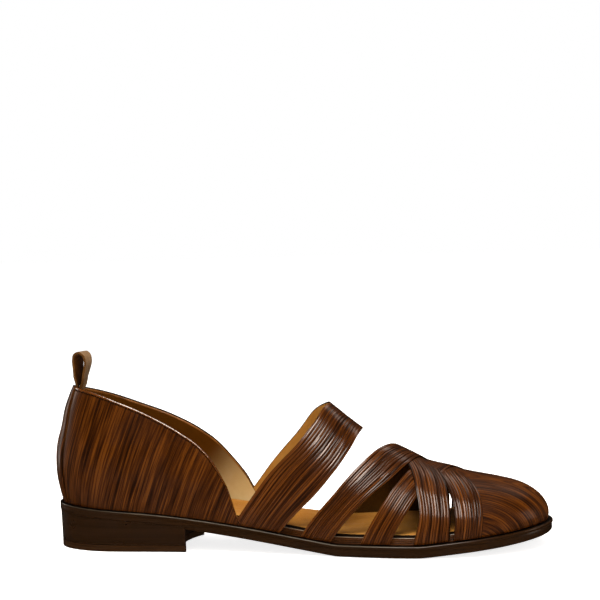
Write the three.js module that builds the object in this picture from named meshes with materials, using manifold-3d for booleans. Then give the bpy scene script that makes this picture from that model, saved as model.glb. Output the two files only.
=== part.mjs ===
// A closed-toe woven sandal with an open waist: leather sole and stacked heel, a quarter cut away at
// both sides, one instep strap, four straps woven over the vamp, and a plain toe cap.
// Right shoe. Millimetres, +X to the toe, -Y to the outer side of the foot, +Z up.
import * as THREE from 'three';
import { mergeVertices } from 'three/addons/utils/BufferGeometryUtils.js';
import Module from 'manifold-3d';

const wasm = await Module();
wasm.setup();

// Last: the form that the upper is shaped on
const lastLength = 270;
const ballWidth = 84;
const heelReach = 36;
const toeReach = 54;
const instepHeight = 68;
const counterHeight = 65.5;
const counterSwell = 3.6;
const undercut = 2;
const undercutHeight = 5;
const toeRidgeSetback = 21;

// Sole and heel
const seatHeight = 25.4;
const toeSpring = 7;
const groundFlat = 0.2;
const soleThickness = 6.7;
const seatThickness = 4.2;
const weltStep = 1.2;
const weltHeight = 2;
const weltToe = 2.9;
const weltWaist = 1.6;
const weltBack = 2.4;
const breastAt = 74.5;
const breastHollow = 7;
const heelInset = 0.2;
const heelTaper = 0.3;
const edgeBevel = 3;
const liftThickness = 3.8;

// Upper
const wall = 1.8;
const crossingStep = 1.1;
const randHeight = 4;
const randDepth = 1.2;
const randLap = 0.6;
const lastingLift = 0.3;
const insoleThickness = 5.4;
const insoleDish = 1.2;
const backstayRun = 20;
const backstayWall = 0.9;
const loopHeight = 18.6;
const loopSwell = 6.4;
const loopWidth = 15;
const loopWall = 1.4;

// Running gap between pieces that touch, and the detail that a union may lose
const gap = 0.3;
const sliver = 0.01;

// Plan of the last at the feather line: centre line and half width
const PLAN = [
  { along: 0.0, centre: 0.0, half: 0.297 },
  { along: 0.12, centre: -0.004, half: 0.294 },
  { along: 0.22, centre: -0.012, half: 0.289 },
  { along: 0.34, centre: -0.034, half: 0.29 },
  { along: 0.45, centre: -0.052, half: 0.318 },
  { along: 0.55, centre: -0.05, half: 0.375 },
  { along: 0.65, centre: -0.034, half: 0.448 },
  { along: 0.73, centre: -0.014, half: 0.49 },
  { along: 0.81, centre: 0.01, half: 0.497 },
  { along: 0.9, centre: 0.034, half: 0.492 },
  { along: 1.0, centre: 0.055, half: 0.49 },
];

// Underside of the sole: share of the heel's rise and of the toe spring
const SOLE_LINE = [
  { along: -0.017, heel: 1.0, toe: 0 },
  { along: 0.098, heel: 0.877, toe: 0 },
  { along: 0.283, heel: 0.656, toe: 0 },
  { along: 0.413, heel: 0.462, toe: 0 },
  { along: 0.517, heel: 0.269, toe: 0 },
  { along: 0.598, heel: 0.104, toe: 0 },
  { along: 0.654, heel: 0.019, toe: 0 },
  { along: 0.691, heel: 0.0, toe: 0 },
  { along: 0.735, heel: 0, toe: 0.0 },
  { along: 0.783, heel: 0, toe: 0.171 },
  { along: 0.817, heel: 0, toe: 0.314 },
  { along: 0.876, heel: 0, toe: 0.5 },
  { along: 0.913, heel: 0, toe: 0.614 },
  { along: 0.972, heel: 0, toe: 0.829 },
  { along: 1.017, heel: 0, toe: 1.0 },
];

// Thickness of the sole, from the skived seat to the full forepart, and how far its welt stands out
const SOLE_EDGE = [
  { along: -0.02, full: 0, back: 1, toe: 0 },
  { along: 0.06, full: 0.2, back: 0.8, toe: 0 },
  { along: 0.26, full: 0.9, back: 0, toe: 0 },
  { along: 0.36, full: 1, back: 0, toe: 0 },
  { along: 0.55, full: 1, back: 0, toe: 0.2 },
  { along: 0.8, full: 1, back: 0, toe: 0.8 },
  { along: 1.02, full: 1, back: 0, toe: 1 },
];

// Ridge of the last over instep, vamp and toe, and how boxy its sections are
const RIDGE = [
  { along: 0.357, rise: 1.235, lean: 0.05, box: 1.0 },
  { along: 0.506, rise: 1.184, lean: 0.07, box: 1.0 },
  { along: 0.572, rise: 0.99, lean: 0.09, box: 1.0 },
  { along: 0.633, rise: 0.806, lean: 0.11, box: 1.0 },
  { along: 0.698, rise: 0.65, lean: 0.13, box: 0.98 },
  { along: 0.757, rise: 0.528, lean: 0.14, box: 0.95 },
  { along: 0.843, rise: 0.406, lean: 0.13, box: 0.88 },
  { along: 0.911, rise: 0.334, lean: 0.1, box: 0.84 },
  { along: 0.951, rise: 0.287, lean: 0.08, box: 0.82 },
  { along: 0.991, rise: 0.228, lean: 0.06, box: 0.8 },
  { along: 1.009, rise: 0.191, lean: 0.06, box: 0.8 },
];

// Swell of the counter up its height, at the back and at the sides
const COUNTER = [
  { up: 0, back: -0.1, side: 0 },
  { up: 0.076, back: 0.2, side: 0.3 },
  { up: 0.18, back: 0.6, side: 0.45 },
  { up: 0.34, back: 0.78, side: 0.5 },
  { up: 0.495, back: 0.5, side: 0.2 },
  { up: 0.65, back: -0.3, side: -0.4 },
  { up: 0.81, back: -1.0, side: -1.0 },
  { up: 0.925, back: -1.83, side: -1.5 },
  { up: 1, back: -2.5, side: -1.8 },
];

// Top edge of the quarter, from the back of the heel to where it meets the sole
const TOPLINE = [
  { along: 0.0, outer: 1, inner: 0.985 },
  { along: 0.0323, outer: 0.994, inner: 0.965 },
  { along: 0.0826, outer: 0.971, inner: 0.921 },
  { along: 0.1436, outer: 0.907, inner: 0.855 },
  { along: 0.2205, outer: 0.795, inner: 0.76 },
  { along: 0.2712, outer: 0.703, inner: 0.671 },
  { along: 0.3081, outer: 0.62, inner: 0.575 },
  { along: 0.3348, outer: 0.524, inner: 0.468 },
  { along: 0.3574, outer: 0.397, inner: 0.365 },
  { along: 0.3719, outer: 0.285, inner: 0.29 },
  { along: 0.381, outer: 0.158, inner: 0.225 },
  { along: 0.388, outer: 0.06, inner: 0.18 },
  { along: 0.394, outer: 0.02, inner: 0.1 },
];

// Straps over the last, from the outer feather edge (-1) over the ridge (0) to the inner one (1)
const INSTEP_STRAP = [
  { side: -1, back: 0.381, front: 0.475, raise: 0 },
  { side: -0.8, back: 0.4515, front: 0.546, raise: 0 },
  { side: -0.6, back: 0.5155, front: 0.5885, raise: 0 },
  { side: -0.4, back: 0.547, front: 0.613, raise: 0 },
  { side: -0.2, back: 0.5595, front: 0.6235, raise: 0 },
  { side: 0, back: 0.5635, front: 0.627, raise: 0 },
  { side: 0.2, back: 0.554, front: 0.62, raise: 0 },
  { side: 0.4, back: 0.531, front: 0.603, raise: 0 },
  { side: 0.6, back: 0.493, front: 0.573, raise: 0 },
  { side: 0.8, back: 0.427, front: 0.53, raise: 0 },
  { side: 1, back: 0.357, front: 0.459, raise: 0 },
];
const STRAP_NEAR_REAR = [
  { side: -1, back: 0.5185, front: 0.58, raise: 0 },
  { side: -0.75, back: 0.585, front: 0.643, raise: 0 },
  { side: -0.5, back: 0.6315, front: 0.695, raise: 0.2 },
  { side: -0.25, back: 0.6646, front: 0.7245, raise: 1.6 },
  { side: 0, back: 0.69, front: 0.742, raise: 1.4 },
  { side: 0.25, back: 0.709, front: 0.768, raise: 0.6 },
  { side: 0.5, back: 0.716, front: 0.788, raise: 0 },
  { side: 0.75, back: 0.715, front: 0.7985, raise: 0 },
  { side: 1, back: 0.7, front: 0.796, raise: 0 },
];
const STRAP_NEAR_MIDDLE = [
  { side: -1, back: 0.746, front: 0.8155, raise: 0 },
  { side: -0.75, back: 0.757, front: 0.8186, raise: 0.2 },
  { side: -0.5, back: 0.7465, front: 0.813, raise: 0.9 },
  { side: -0.25, back: 0.727, front: 0.798, raise: 0.9 },
  { side: 0, back: 0.69, front: 0.769, raise: 0.4 },
  { side: 0.25, back: 0.672, front: 0.738, raise: 0 },
  { side: 0.5, back: 0.64, front: 0.7, raise: 0 },
  { side: 0.75, back: 0.592, front: 0.655, raise: 0 },
  { side: 1, back: 0.528, front: 0.6, raise: 0 },
];
const STRAP_NEAR_SECOND = [
  { side: -1, back: 0.641, front: 0.699, raise: 0 },
  { side: -0.75, back: 0.68, front: 0.7315, raise: 0 },
  { side: -0.5, back: 0.7105, front: 0.7585, raise: 0 },
  { side: -0.25, back: 0.735, front: 0.788, raise: 0 },
  { side: 0, back: 0.762, front: 0.816, raise: 1.1 },
  { side: 0.25, back: 0.786, front: 0.844, raise: 0.6 },
  { side: 0.5, back: 0.798, front: 0.868, raise: 0.4 },
  { side: 0.75, back: 0.8035, front: 0.878, raise: 0.4 },
  { side: 1, back: 0.8, front: 0.874, raise: 0.4 },
];
const STRAP_NEAR_FRONT = [
  { side: -1, back: 0.8235, front: 0.876, raise: 0.4 },
  { side: -0.75, back: 0.8265, front: 0.8795, raise: 0.4 },
  { side: -0.5, back: 0.8175, front: 0.8785, raise: 0.4 },
  { side: -0.25, back: 0.797, front: 0.869, raise: 0.3 },
  { side: 0, back: 0.77, front: 0.8475, raise: 0.1 },
  { side: 0.25, back: 0.73, front: 0.806, raise: 1.4 },
  { side: 0.5, back: 0.69, front: 0.752, raise: 1 },
  { side: 0.75, back: 0.643, front: 0.71, raise: 0.2 },
  { side: 1, back: 0.598, front: 0.692, raise: 0 },
];
const CAP_EDGE = [
  { side: -1, back: 0.865 },
  { side: -0.5, back: 0.868 },
  { side: 0, back: 0.826 },
  { side: 0.5, back: 0.868 },
  { side: 1, back: 0.865 },
];

// Centre line of the pull loop over the collar's back edge, from the rear leg to the front one
const LOOP = [
  { forward: 0, up: 0 },
  { forward: -0.12, up: 0.3 },
  { forward: -0.17, up: 0.58 },
  { forward: -0.05, up: 0.82 },
  { forward: 0.28, up: 0.97 },
  { forward: 0.62, up: 0.93 },
  { forward: 0.82, up: 0.75 },
  { forward: 0.8, up: 0.52 },
  { forward: 0.6, up: 0.28 },
  { forward: 0.5, up: 0.06 },
  { forward: 0.3, up: -0.12 },
  { forward: -0.08, up: -0.38 },
];

const UPPER_LEATHER = { color: 0x5a3010, roughness: 0.42 };
const FOOTBED_LEATHER = { color: 0xb98238, roughness: 0.6 };
const SOLE_LEATHER = { color: 0x2b190c, roughness: 0.5 };
const RUBBER = { color: 0x2e1d11, roughness: 0.62 };

// A smooth curve through a table's rows, from one column to another.
function curve(rows, from, to) {
  const at = rows.map((row) => row[from]);
  const value = rows.map((row) => row[to]);
  const last = at.length - 1;
  const slope = (i) => (value[i + 1] - value[i]) / (at[i + 1] - at[i]);
  const tangent = at.map((_, i) => {
    if (i === 0) return slope(0);
    if (i === last) return slope(last - 1);
    const before = at[i] - at[i - 1];
    const after = at[i + 1] - at[i];
    return (after * slope(i - 1) + before * slope(i)) / (before + after);
  });
  return (x) => {
    const held = THREE.MathUtils.clamp(x, at[0], at[last]);
    let i = 0;
    while (i < last - 1 && held > at[i + 1]) i += 1;
    const run = at[i + 1] - at[i];
    const t = (held - at[i]) / run;
    const u = 1 - t;
    return value[i] * u * u * (1 + 2 * t) + value[i + 1] * t * t * (1 + 2 * u)
      + run * t * u * (u * tangent[i] - t * tangent[i + 1]);
  };
}

const planCentre = curve(PLAN, 'along', 'centre');
const planHalf = curve(PLAN, 'along', 'half');
const soleHeel = curve(SOLE_LINE, 'along', 'heel');
const soleToe = curve(SOLE_LINE, 'along', 'toe');
const soleFull = curve(SOLE_EDGE, 'along', 'full');
const weltAtBack = curve(SOLE_EDGE, 'along', 'back');
const weltAtToe = curve(SOLE_EDGE, 'along', 'toe');
const ridgeRise = curve(RIDGE, 'along', 'rise');
const ridgeLean = curve(RIDGE, 'along', 'lean');
const ridgeBox = curve(RIDGE, 'along', 'box');
const counterBack = curve(COUNTER, 'up', 'back');
const counterSide = curve(COUNTER, 'up', 'side');
const toplineOuter = curve(TOPLINE, 'along', 'outer');
const toplineInner = curve(TOPLINE, 'along', 'inner');

// Heights of the sole over the floor at x, which runs from the last's back to its toe
function soleBottom(x) {
  const line = soleHeel(x / lastLength) * (seatHeight - seatThickness)
    + soleToe(x / lastLength) * toeSpring;
  return Math.max(0, line - groundFlat * (1 - soleHeel(x / lastLength)) * (1 - soleToe(x / lastLength)));
}
function soleTop(x) {
  return soleBottom(x) + THREE.MathUtils.lerp(seatThickness, soleThickness, soleFull(x / lastLength));
}
const lastingLine = (x) => soleTop(x) + gap;
const featherLine = (x) => lastingLine(x) + lastingLift;

// The run is a length along the outline: an arc round the heel, a straight stretch, an arc round the toe.
const heelArc = heelReach * Math.PI / 2;
const toeArc = toeReach * Math.PI / 2;
const toeRun = heelArc + lastLength - heelReach - toeReach;
const fullRun = toeRun + toeArc;

function runAt(x) {
  if (x < heelReach) return heelReach * Math.acos(1 - x / heelReach);
  const straight = lastLength - toeReach;
  if (x < straight) return heelArc + x - heelReach;
  return toeRun + toeReach * Math.asin(Math.min(1, (x - straight) / toeReach));
}

// Outline point at a run. side is -1 on the outer edge and 1 on the inner one.
function outline(run, side) {
  let x = heelReach + run - heelArc;
  let round = 1;
  if (run < heelArc) {
    x = heelReach * (1 - Math.cos(run / heelReach));
    round = Math.sin(run / heelReach);
  }
  if (run > toeRun) {
    const turn = Math.min(1, (run - toeRun) / toeArc) * Math.PI / 2;
    x = lastLength + toeReach * (Math.sin(turn) - 1);
    round = Math.cos(turn);
  }
  const along = x / lastLength;
  return new THREE.Vector2(x, ballWidth * (planCentre(along) + side * round * planHalf(along)));
}

// Outward direction of the outline in plan
function outlineNormal(run, side) {
  if (run <= 0) return new THREE.Vector2(-1, 0);
  if (run >= fullRun) return new THREE.Vector2(1, 0);
  const step = Math.min(0.5, run, fullRun - run);
  const ahead = outline(run + step, side);
  const tangent = ahead.sub(outline(run - step, side)).normalize();
  return new THREE.Vector2(-tangent.y, tangent.x).multiplyScalar(side);
}

function outlineOffset(run, side, out) {
  return outline(run, side).addScaledVector(outlineNormal(run, side), out);
}

// The ridge falls behind the outline as the sections fan out round the toe.
const ridgeEnd = lastLength - toeRidgeSetback;
const fanLag = heelArc - heelReach;
const ridgeRun = (run) => {
  const start = fullRun - 2 * (fullRun - (ridgeEnd + fanLag));
  const past = Math.max(0, run - start);
  return run - past * past / (2 * (fullRun - start)) - fanLag;
};

// Point of the last's side and top. side runs from -1 at the outer feather edge to 1 at the inner one.
function lastPoint(run, side) {
  const edge = outline(run, Math.sign(side) || 1);
  const bulge = outlineNormal(run, Math.sign(side) || 1);
  const x = ridgeRun(run);
  const along = x / lastLength;
  const turn = (1 - Math.abs(side)) * Math.PI / 2;
  const box = ridgeBox(along);
  const plan = new THREE.Vector2(x, ballWidth * (planCentre(along) + ridgeLean(along)));
  plan.lerp(edge, Math.cos(turn) ** box);
  const low = featherLine(edge.x);
  const ceiling = featherLine(plan.x) + instepHeight * ridgeRise(plan.x / lastLength);
  const height = (ceiling - low) * Math.sin(turn) ** box;
  const spread = undercut * (1 - Math.exp(-height / undercutHeight)) * Math.cos(turn);
  plan.addScaledVector(bulge, spread);
  return new THREE.Vector3(plan.x, plan.y, low + height);
}

// The same point, pushed out square to the surface
function shellPoint(run, side, out) {
  const mirrored = run > fullRun - 0.01 ? -Math.abs(side) : side;
  const runStep = 0.4;
  const sideStep = 0.01;
  const along = lastPoint(Math.min(fullRun, run + runStep), mirrored)
    .sub(lastPoint(run - runStep, mirrored));
  const around = lastPoint(run, Math.min(1, mirrored + sideStep))
    .sub(lastPoint(run, Math.max(-1, mirrored - sideStep)));
  const normal = along.cross(around).normalize();
  if (run > fullRun - 0.01) normal.setY(0).normalize();
  const point = lastPoint(run, mirrored).addScaledVector(normal, out);
  return point.setZ(Math.max(point.z, featherLine(point.x)));
}

// Point of the quarter at a height over the feather line
function quarterPoint(run, side, height, out) {
  const normal = outlineNormal(run, side);
  const up = height / counterHeight;
  const swell = counterSwell * THREE.MathUtils.lerp(counterSide(up), counterBack(up), normal.x ** 2);
  const plan = outlineOffset(run, side, swell + out);
  return new THREE.Vector3(plan.x, plan.y, featherLine(outline(run, side).x) + height);
}

// Values from one end to the other, in equal steps
function steps(count, from = 0, to = 1) {
  return Array.from({ length: count + 1 }, (_, i) => from + (to - from) * i / count);
}

// A closed mesh from points and faces of three or four corners each
function solid(points, faces) {
  const index = faces.flatMap(([a, b, c, d]) => (d === undefined ? [a, b, c] : [a, b, c, a, c, d]));
  const raw = new THREE.BufferGeometry();
  raw.setAttribute('position', new THREE.Float32BufferAttribute(points.flatMap((p) => p.toArray()), 3));
  raw.setIndex(index);
  return fromGeometry(raw);
}

function fromGeometry(geometry) {
  const bare = geometry.clone();
  bare.deleteAttribute('normal');
  bare.deleteAttribute('uv');
  const merged = mergeVertices(bare, 1e-4);
  return new wasm.Manifold(new wasm.Mesh({
    numProp: 3,
    vertProperties: merged.attributes.position.array,
    triVerts: new Uint32Array(merged.index.array),
  }));
}

function toGeometry(manifold) {
  const mesh = manifold.getMesh();
  const geometry = new THREE.BufferGeometry();
  geometry.setAttribute('position', new THREE.BufferAttribute(Float32Array.from(mesh.vertProperties), 3));
  geometry.setIndex(new THREE.BufferAttribute(Uint32Array.from(mesh.triVerts), 1));
  geometry.computeVertexNormals();
  return geometry;
}

// A wall between two grids of points that face each other. A zipped one already meets at its last column.
function shell(outer, inner, zipped = false) {
  const rows = outer.length;
  const columns = outer[0].length;
  const last = columns - 1;
  const points = [...outer.flat(), ...inner.flat()];
  const o = (i, j) => i * columns + j;
  const n = (i, j) => rows * columns + i * columns + j;
  const faces = [];
  for (let i = 0; i < rows - 1; i += 1) {
    for (let j = 0; j < columns - 1; j += 1) {
      faces.push([o(i, j), o(i, j + 1), o(i + 1, j + 1), o(i + 1, j)]);
      faces.push([n(i, j), n(i + 1, j), n(i + 1, j + 1), n(i, j + 1)]);
    }
    faces.push([o(i, 0), o(i + 1, 0), n(i + 1, 0), n(i, 0)]);
    if (!zipped) faces.push([o(i, last), n(i, last), n(i + 1, last), o(i + 1, last)]);
  }
  for (let j = 0; j < columns - 1; j += 1) {
    faces.push([o(0, j), n(0, j), n(0, j + 1), o(0, j + 1)]);
    faces.push([o(rows - 1, j), o(rows - 1, j + 1), n(rows - 1, j + 1), n(rows - 1, j)]);
  }
  return solid(points, faces);
}

// A closed ring from sections of equal point counts, each a closed loop
function ring(sections) {
  const count = sections.length;
  const sides = sections[0].length;
  const at = (k, m) => (k % count) * sides + (m % sides);
  const faces = [];
  for (let k = 0; k < count; k += 1) {
    for (let m = 0; m < sides; m += 1) {
      faces.push([at(k, m), at(k + 1, m), at(k + 1, m + 1), at(k, m + 1)]);
    }
  }
  return solid(sections.flat(), faces);
}

// A slab between two heights inside an outline that is given by stations, with steps down its edge.
// Each edge row holds how far it is set in and its place from the bottom (0) to the top (1).
function slab(runs, reach, bottom, top, edge) {
  const loop = [...runs.map((run) => [run, -1]), ...runs.slice(1, -1).reverse().map((run) => [run, 1])];
  const closedBack = runs[0] <= 0;
  const closedFront = runs[runs.length - 1] >= fullRun;
  if (!closedFront) loop.splice(runs.length, 0, [runs[runs.length - 1], 1]);
  if (!closedBack) loop.push([runs[0], 1]);
  const around = loop.length;
  const points = edge.flatMap((row) => loop.map(([run, side]) => {
    const plan = outlineOffset(run, side, reach(outline(run, side).x, row.inset));
    const z = THREE.MathUtils.lerp(bottom(plan.x), top(plan.x), row.up);
    return new THREE.Vector3(plan.x, plan.y, z);
  }));
  const faces = [];
  for (let level = 0; level < edge.length - 1; level += 1) {
    const low = level * around;
    const high = low + around;
    for (let k = 0; k < around; k += 1) {
      const next = (k + 1) % around;
      faces.push([low + k, low + next, high + next, high + k]);
    }
  }
  // Each cap is ruled straight across from station to station.
  const mate = (k) => (around + (closedBack ? 0 : -1) - k) % around;
  const lastNear = runs.length - 1;
  for (let k = 0; k < lastNear; k += 1) {
    const quad = [k, k + 1, mate(k + 1), mate(k)].filter((v, i, all) => all.indexOf(v) === i);
    const topBase = (edge.length - 1) * around;
    faces.push(quad.map((v) => topBase + v));
    faces.push([...quad].reverse());
  }
  return solid(points, faces);
}

// Stations along the run, closer together round the heel and the toe
function stations(toX) {
  const end = toX >= lastLength ? fullRun : runAt(toX);
  const round = steps(10, 0, heelArc);
  const straightEnd = Math.min(end, toeRun);
  const middle = steps(Math.ceil((straightEnd - heelArc) / 9), heelArc, straightEnd).slice(1);
  const toe = end > toeRun ? steps(13, toeRun, end).slice(1) : [];
  return [...round, ...middle, ...toe];
}

function weltOut(x) {
  const along = x / lastLength;
  const moreAtBack = (weltBack - weltWaist) * weltAtBack(along);
  const moreAtToe = (weltToe - weltWaist) * weltAtToe(along);
  return wall + weltWaist + moreAtBack + moreAtToe;
}

function outsole() {
  const weltFoot = 1 - weltHeight / soleThickness;
  const reach = (x, inset) => weltOut(x) - inset * soleFull(x / lastLength);
  return slab(stations(lastLength), reach, soleBottom, soleTop, [
    { up: 0, inset: edgeBevel },
    { up: 0.22, inset: weltStep / 3 },
    { up: weltFoot, inset: weltStep / 3 },
    { up: weltFoot + 0.08, inset: 0 },
    { up: 0.95, inset: 0 },
    { up: 1, inset: weltStep / 4 },
  ]);
}

// The heel's front face is hollowed by a cylinder standing in front of it.
function breastCutter() {
  const half = ballWidth * planHalf(breastAt / lastLength) + wall + weltWaist;
  const radius = (half * half + breastHollow * breastHollow) / (2 * breastHollow);
  const tall = seatHeight * 2;
  const cylinder = new THREE.CylinderGeometry(radius, radius, tall, 96).rotateX(Math.PI / 2);
  return fromGeometry(cylinder.translate(breastAt - breastHollow + radius, 0, 0));
}

function heelPiece(bottom, top, topInset) {
  const reach = (x, inset) => weltOut(x) - heelInset - inset;
  const edge = [{ up: 0, inset: heelTaper }, { up: 1, inset: topInset }];
  return slab(stations(breastAt), reach, bottom, top, edge).subtract(breastCutter());
}

const heelStack = () => heelPiece(() => liftThickness + gap, (x) => soleBottom(x) - gap, 0);
const topLift = () => heelPiece(() => 0, () => liftThickness, heelTaper);

function insole() {
  const reach = (x, inset) => -randDepth - gap - inset;
  const top = (x) => lastingLine(x) + insoleThickness;
  return slab(stations(lastLength), reach, lastingLine, top, [
    { up: 0, inset: 0 },
    { up: 0.85, inset: 0 },
    { up: 1, inset: insoleDish },
  ]);
}

// The rand runs round the whole shoe and joins the quarter, the straps and the cap.
function rand() {
  const near = stations(lastLength).map((run) => [run, -1]);
  const far = stations(lastLength).slice(1, -1).reverse().map((run) => [run, 1]);
  return ring([...near, ...far].map(([run, side]) => {
    const inside = outlineOffset(run, side, -randDepth);
    const outside = outlineOffset(run, side, randLap);
    const at = (plan, up) => new THREE.Vector3(plan.x, plan.y, lastingLine(plan.x) + up);
    return [at(inside, 0), at(outside, 0), at(outside, randHeight), at(inside, randHeight)];
  }));
}

// A band of the quarter's wall between two runs, up to the topline, from one offset to another
function quarterBand(wayRound, from, to) {
  const surface = (out) => wayRound.map(([run, side]) => {
    const along = outline(run, side).x / lastLength;
    const share = side < 0 ? toplineOuter(along) : toplineInner(along);
    return steps(9).map((up) => quarterPoint(run, side, up * share * counterHeight, out));
  });
  return shell(surface(to), surface(from));
}

function quarter() {
  const frontRun = runAt(TOPLINE[TOPLINE.length - 1].along * lastLength);
  return quarterBand([
    ...steps(22, frontRun, backstayRun).map((run) => [run, -1]),
    ...steps(6, backstayRun, 0).slice(1).map((run) => [run, -1]),
    ...steps(6, 0, backstayRun).slice(1).map((run) => [run, 1]),
    ...steps(22, backstayRun, frontRun).slice(1).map((run) => [run, 1]),
  ], 0, wall);
}

function backstay() {
  return quarterBand([
    ...steps(6, backstayRun, 0).map((run) => [run, -1]),
    ...steps(6, 0, backstayRun).slice(1).map((run) => [run, 1]),
  ], wall / 2, wall + backstayWall);
}

// A strap is the stretch of the shell between its back and front edge.
function strap(rows) {
  const back = curve(rows, 'side', 'back');
  const front = curve(rows, 'side', 'front');
  const raise = curve(rows, 'side', 'raise');
  const surface = (out) => steps(28, -1, 1).map((side) => {
    const lift = crossingStep * raise(side) + out;
    return steps(3).map((across) => {
      const x = lastLength * THREE.MathUtils.lerp(back(side), front(side), across);
      return shellPoint(runAt(x), side, lift);
    });
  });
  return shell(surface(wall), surface(0));
}

function cap() {
  const back = curve(CAP_EDGE, 'side', 'back');
  const surface = (out) => steps(24, -1, 1).map((side) => {
    const from = runAt(lastLength * back(side));
    return steps(12).map((t) => shellPoint(THREE.MathUtils.lerp(from, fullRun, t), side, out));
  });
  return shell(surface(wall), surface(0), true);
}

function upper() {
  const pieces = [
    rand(),
    quarter(),
    backstay(),
    strap(INSTEP_STRAP),
    strap(STRAP_NEAR_REAR),
    strap(STRAP_NEAR_SECOND),
    strap(STRAP_NEAR_MIDDLE),
    strap(STRAP_NEAR_FRONT),
    cap(),
  ];
  return pieces.reduce((whole, piece) => whole.add(piece)).simplify(sliver);
}

// The loop's rear leg stands on the collar's edge and its front leg goes down inside.
function pullLoop() {
  const seat = quarterPoint(0, -1, counterHeight, (wall + backstayWall) / 2);
  const inner = quarterPoint(0, -1, counterHeight, 0).x;
  const beside = quarterPoint(runAt(heelReach / 12), -1, counterHeight, 0);
  const hollow = (beside.x - inner) / beside.y ** 2;
  const path = new THREE.CatmullRomCurve3(LOOP.map((row) => {
    return new THREE.Vector3(row.forward * loopSwell, 0, gap + row.up * loopHeight);
  }), false, 'centripetal');
  const surface = (out) => steps(26).map((t) => {
    const tangent = path.getTangentAt(t);
    const centre = path.getPointAt(t).addScaledVector(new THREE.Vector3(-tangent.z, 0, tangent.x), out);
    const hug = hollow * THREE.MathUtils.clamp(1 - 2.5 * centre.z / loopHeight, 0, 1);
    return steps(4, loopWidth / 2, -loopWidth / 2).map((y) => {
      return new THREE.Vector3(seat.x + centre.x + hug * y * y, y, seat.z + centre.z);
    });
  });
  return shell(surface(loopWall / 2), surface(-loopWall / 2));
}

function named(name, manifold, finish) {
  const material = new THREE.MeshStandardMaterial({ ...finish, metalness: 0 });
  const mesh = new THREE.Mesh(toGeometry(manifold), material);
  mesh.name = name;
  return mesh;
}

const shoe = new THREE.Group();
shoe.add(named('outsole', outsole(), SOLE_LEATHER));
shoe.add(named('heel_stack', heelStack(), SOLE_LEATHER));
shoe.add(named('top_lift', topLift(), RUBBER));
shoe.add(named('insole', insole(), FOOTBED_LEATHER));
shoe.add(named('upper', upper(), UPPER_LEATHER));
shoe.add(named('pull_loop', pullLoop(), UPPER_LEATHER));

// The frame's origin is on the floor under the middle of the shoe's box.
const box = new THREE.Box3().setFromObject(shoe);
const middle = box.getCenter(new THREE.Vector3());
shoe.position.set(-middle.x, -middle.y, 0);

export default shoe;
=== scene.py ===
# %% [markdown]
# # A woven closed-toe sandal, dressed over its frame
# The frame holds the solids of the shoe at their real size. This lesson gives them their looks: pleated
# straps, streaked leather, a rolled topline and a waxed sole. Everything is worked out on the same last
# as the solids, in millimetres from the back of the last, and then moved into the frame in metres.

# %% Load the frame
import math
from bisect import bisect_right
from collections import namedtuple

import bmesh
import bpy
from mathutils import Matrix, Vector, noise


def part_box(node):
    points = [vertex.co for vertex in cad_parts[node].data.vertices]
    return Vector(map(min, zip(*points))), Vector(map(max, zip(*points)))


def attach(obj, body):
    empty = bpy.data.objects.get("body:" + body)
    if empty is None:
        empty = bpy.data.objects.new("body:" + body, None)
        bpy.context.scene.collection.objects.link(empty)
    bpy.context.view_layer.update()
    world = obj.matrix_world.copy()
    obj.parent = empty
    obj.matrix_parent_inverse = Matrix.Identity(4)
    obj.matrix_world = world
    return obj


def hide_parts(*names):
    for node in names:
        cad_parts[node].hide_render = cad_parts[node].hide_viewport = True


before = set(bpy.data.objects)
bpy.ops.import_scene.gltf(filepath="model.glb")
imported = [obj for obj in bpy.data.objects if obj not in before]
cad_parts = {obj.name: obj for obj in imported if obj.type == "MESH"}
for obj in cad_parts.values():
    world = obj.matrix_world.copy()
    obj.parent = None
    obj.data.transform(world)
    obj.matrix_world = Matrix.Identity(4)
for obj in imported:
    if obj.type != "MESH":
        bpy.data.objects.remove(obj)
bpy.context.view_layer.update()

print("frame nodes:", sorted(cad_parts))

# %% [markdown]
# The insole's back edge lies a known distance in front of the last's back, and the pull loop straddles
# the last's middle line. So the frame itself says where the last stands in it. The solids are kept a small
# gap apart, and the insole stands inside the depth of the rand.

# %% Place the last in the frame
MM = 0.001
GAP = 0.3
RAND_DEPTH = 1.2

last_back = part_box("insole")[0].x / MM - RAND_DEPTH - GAP
middle_line = (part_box("pull_loop")[0].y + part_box("pull_loop")[1].y) / 2 / MM
TO_FRAME = Matrix.Diagonal((MM, MM, MM, 1)) @ Matrix.Translation((last_back, middle_line, 0))
print(f"last's back at x {last_back:.2f} mm, its middle line at y {middle_line:.2f} mm")

# %% [markdown]
# The camera comes first. A shoe catalogue shows its shoes from the outer side, a little from the front and
# a little from above, with a long lens that hardly bends the outline. The shoe sits low in the picture,
# so the lens is shifted instead of tilted.

# %% Camera
FRAME_PIXELS = 600
SENSOR = 36
CAMERA_DISTANCE = 900
CAMERA_AZIMUTH = 9
CAMERA_ELEVATION = 8
CAMERA_ROLL = -1.5
MM_PER_PIXEL = 0.56
TARGET = Vector((136.5, 0, 41.6))
TARGET_PIXEL = Vector((303, 470))


def camera_axes():
    """The camera's right, up and back directions."""
    azimuth, elevation, roll = (math.radians(a) for a in (CAMERA_AZIMUTH, CAMERA_ELEVATION, CAMERA_ROLL))
    back = Vector((math.sin(azimuth) * math.cos(elevation), -math.cos(azimuth) * math.cos(elevation),
                   math.sin(elevation)))
    right = Vector((0, 0, 1)).cross(back).normalized()
    up = back.cross(right)
    turn = Matrix.Rotation(roll, 3, back)
    return turn @ right, turn @ up, back


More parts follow.
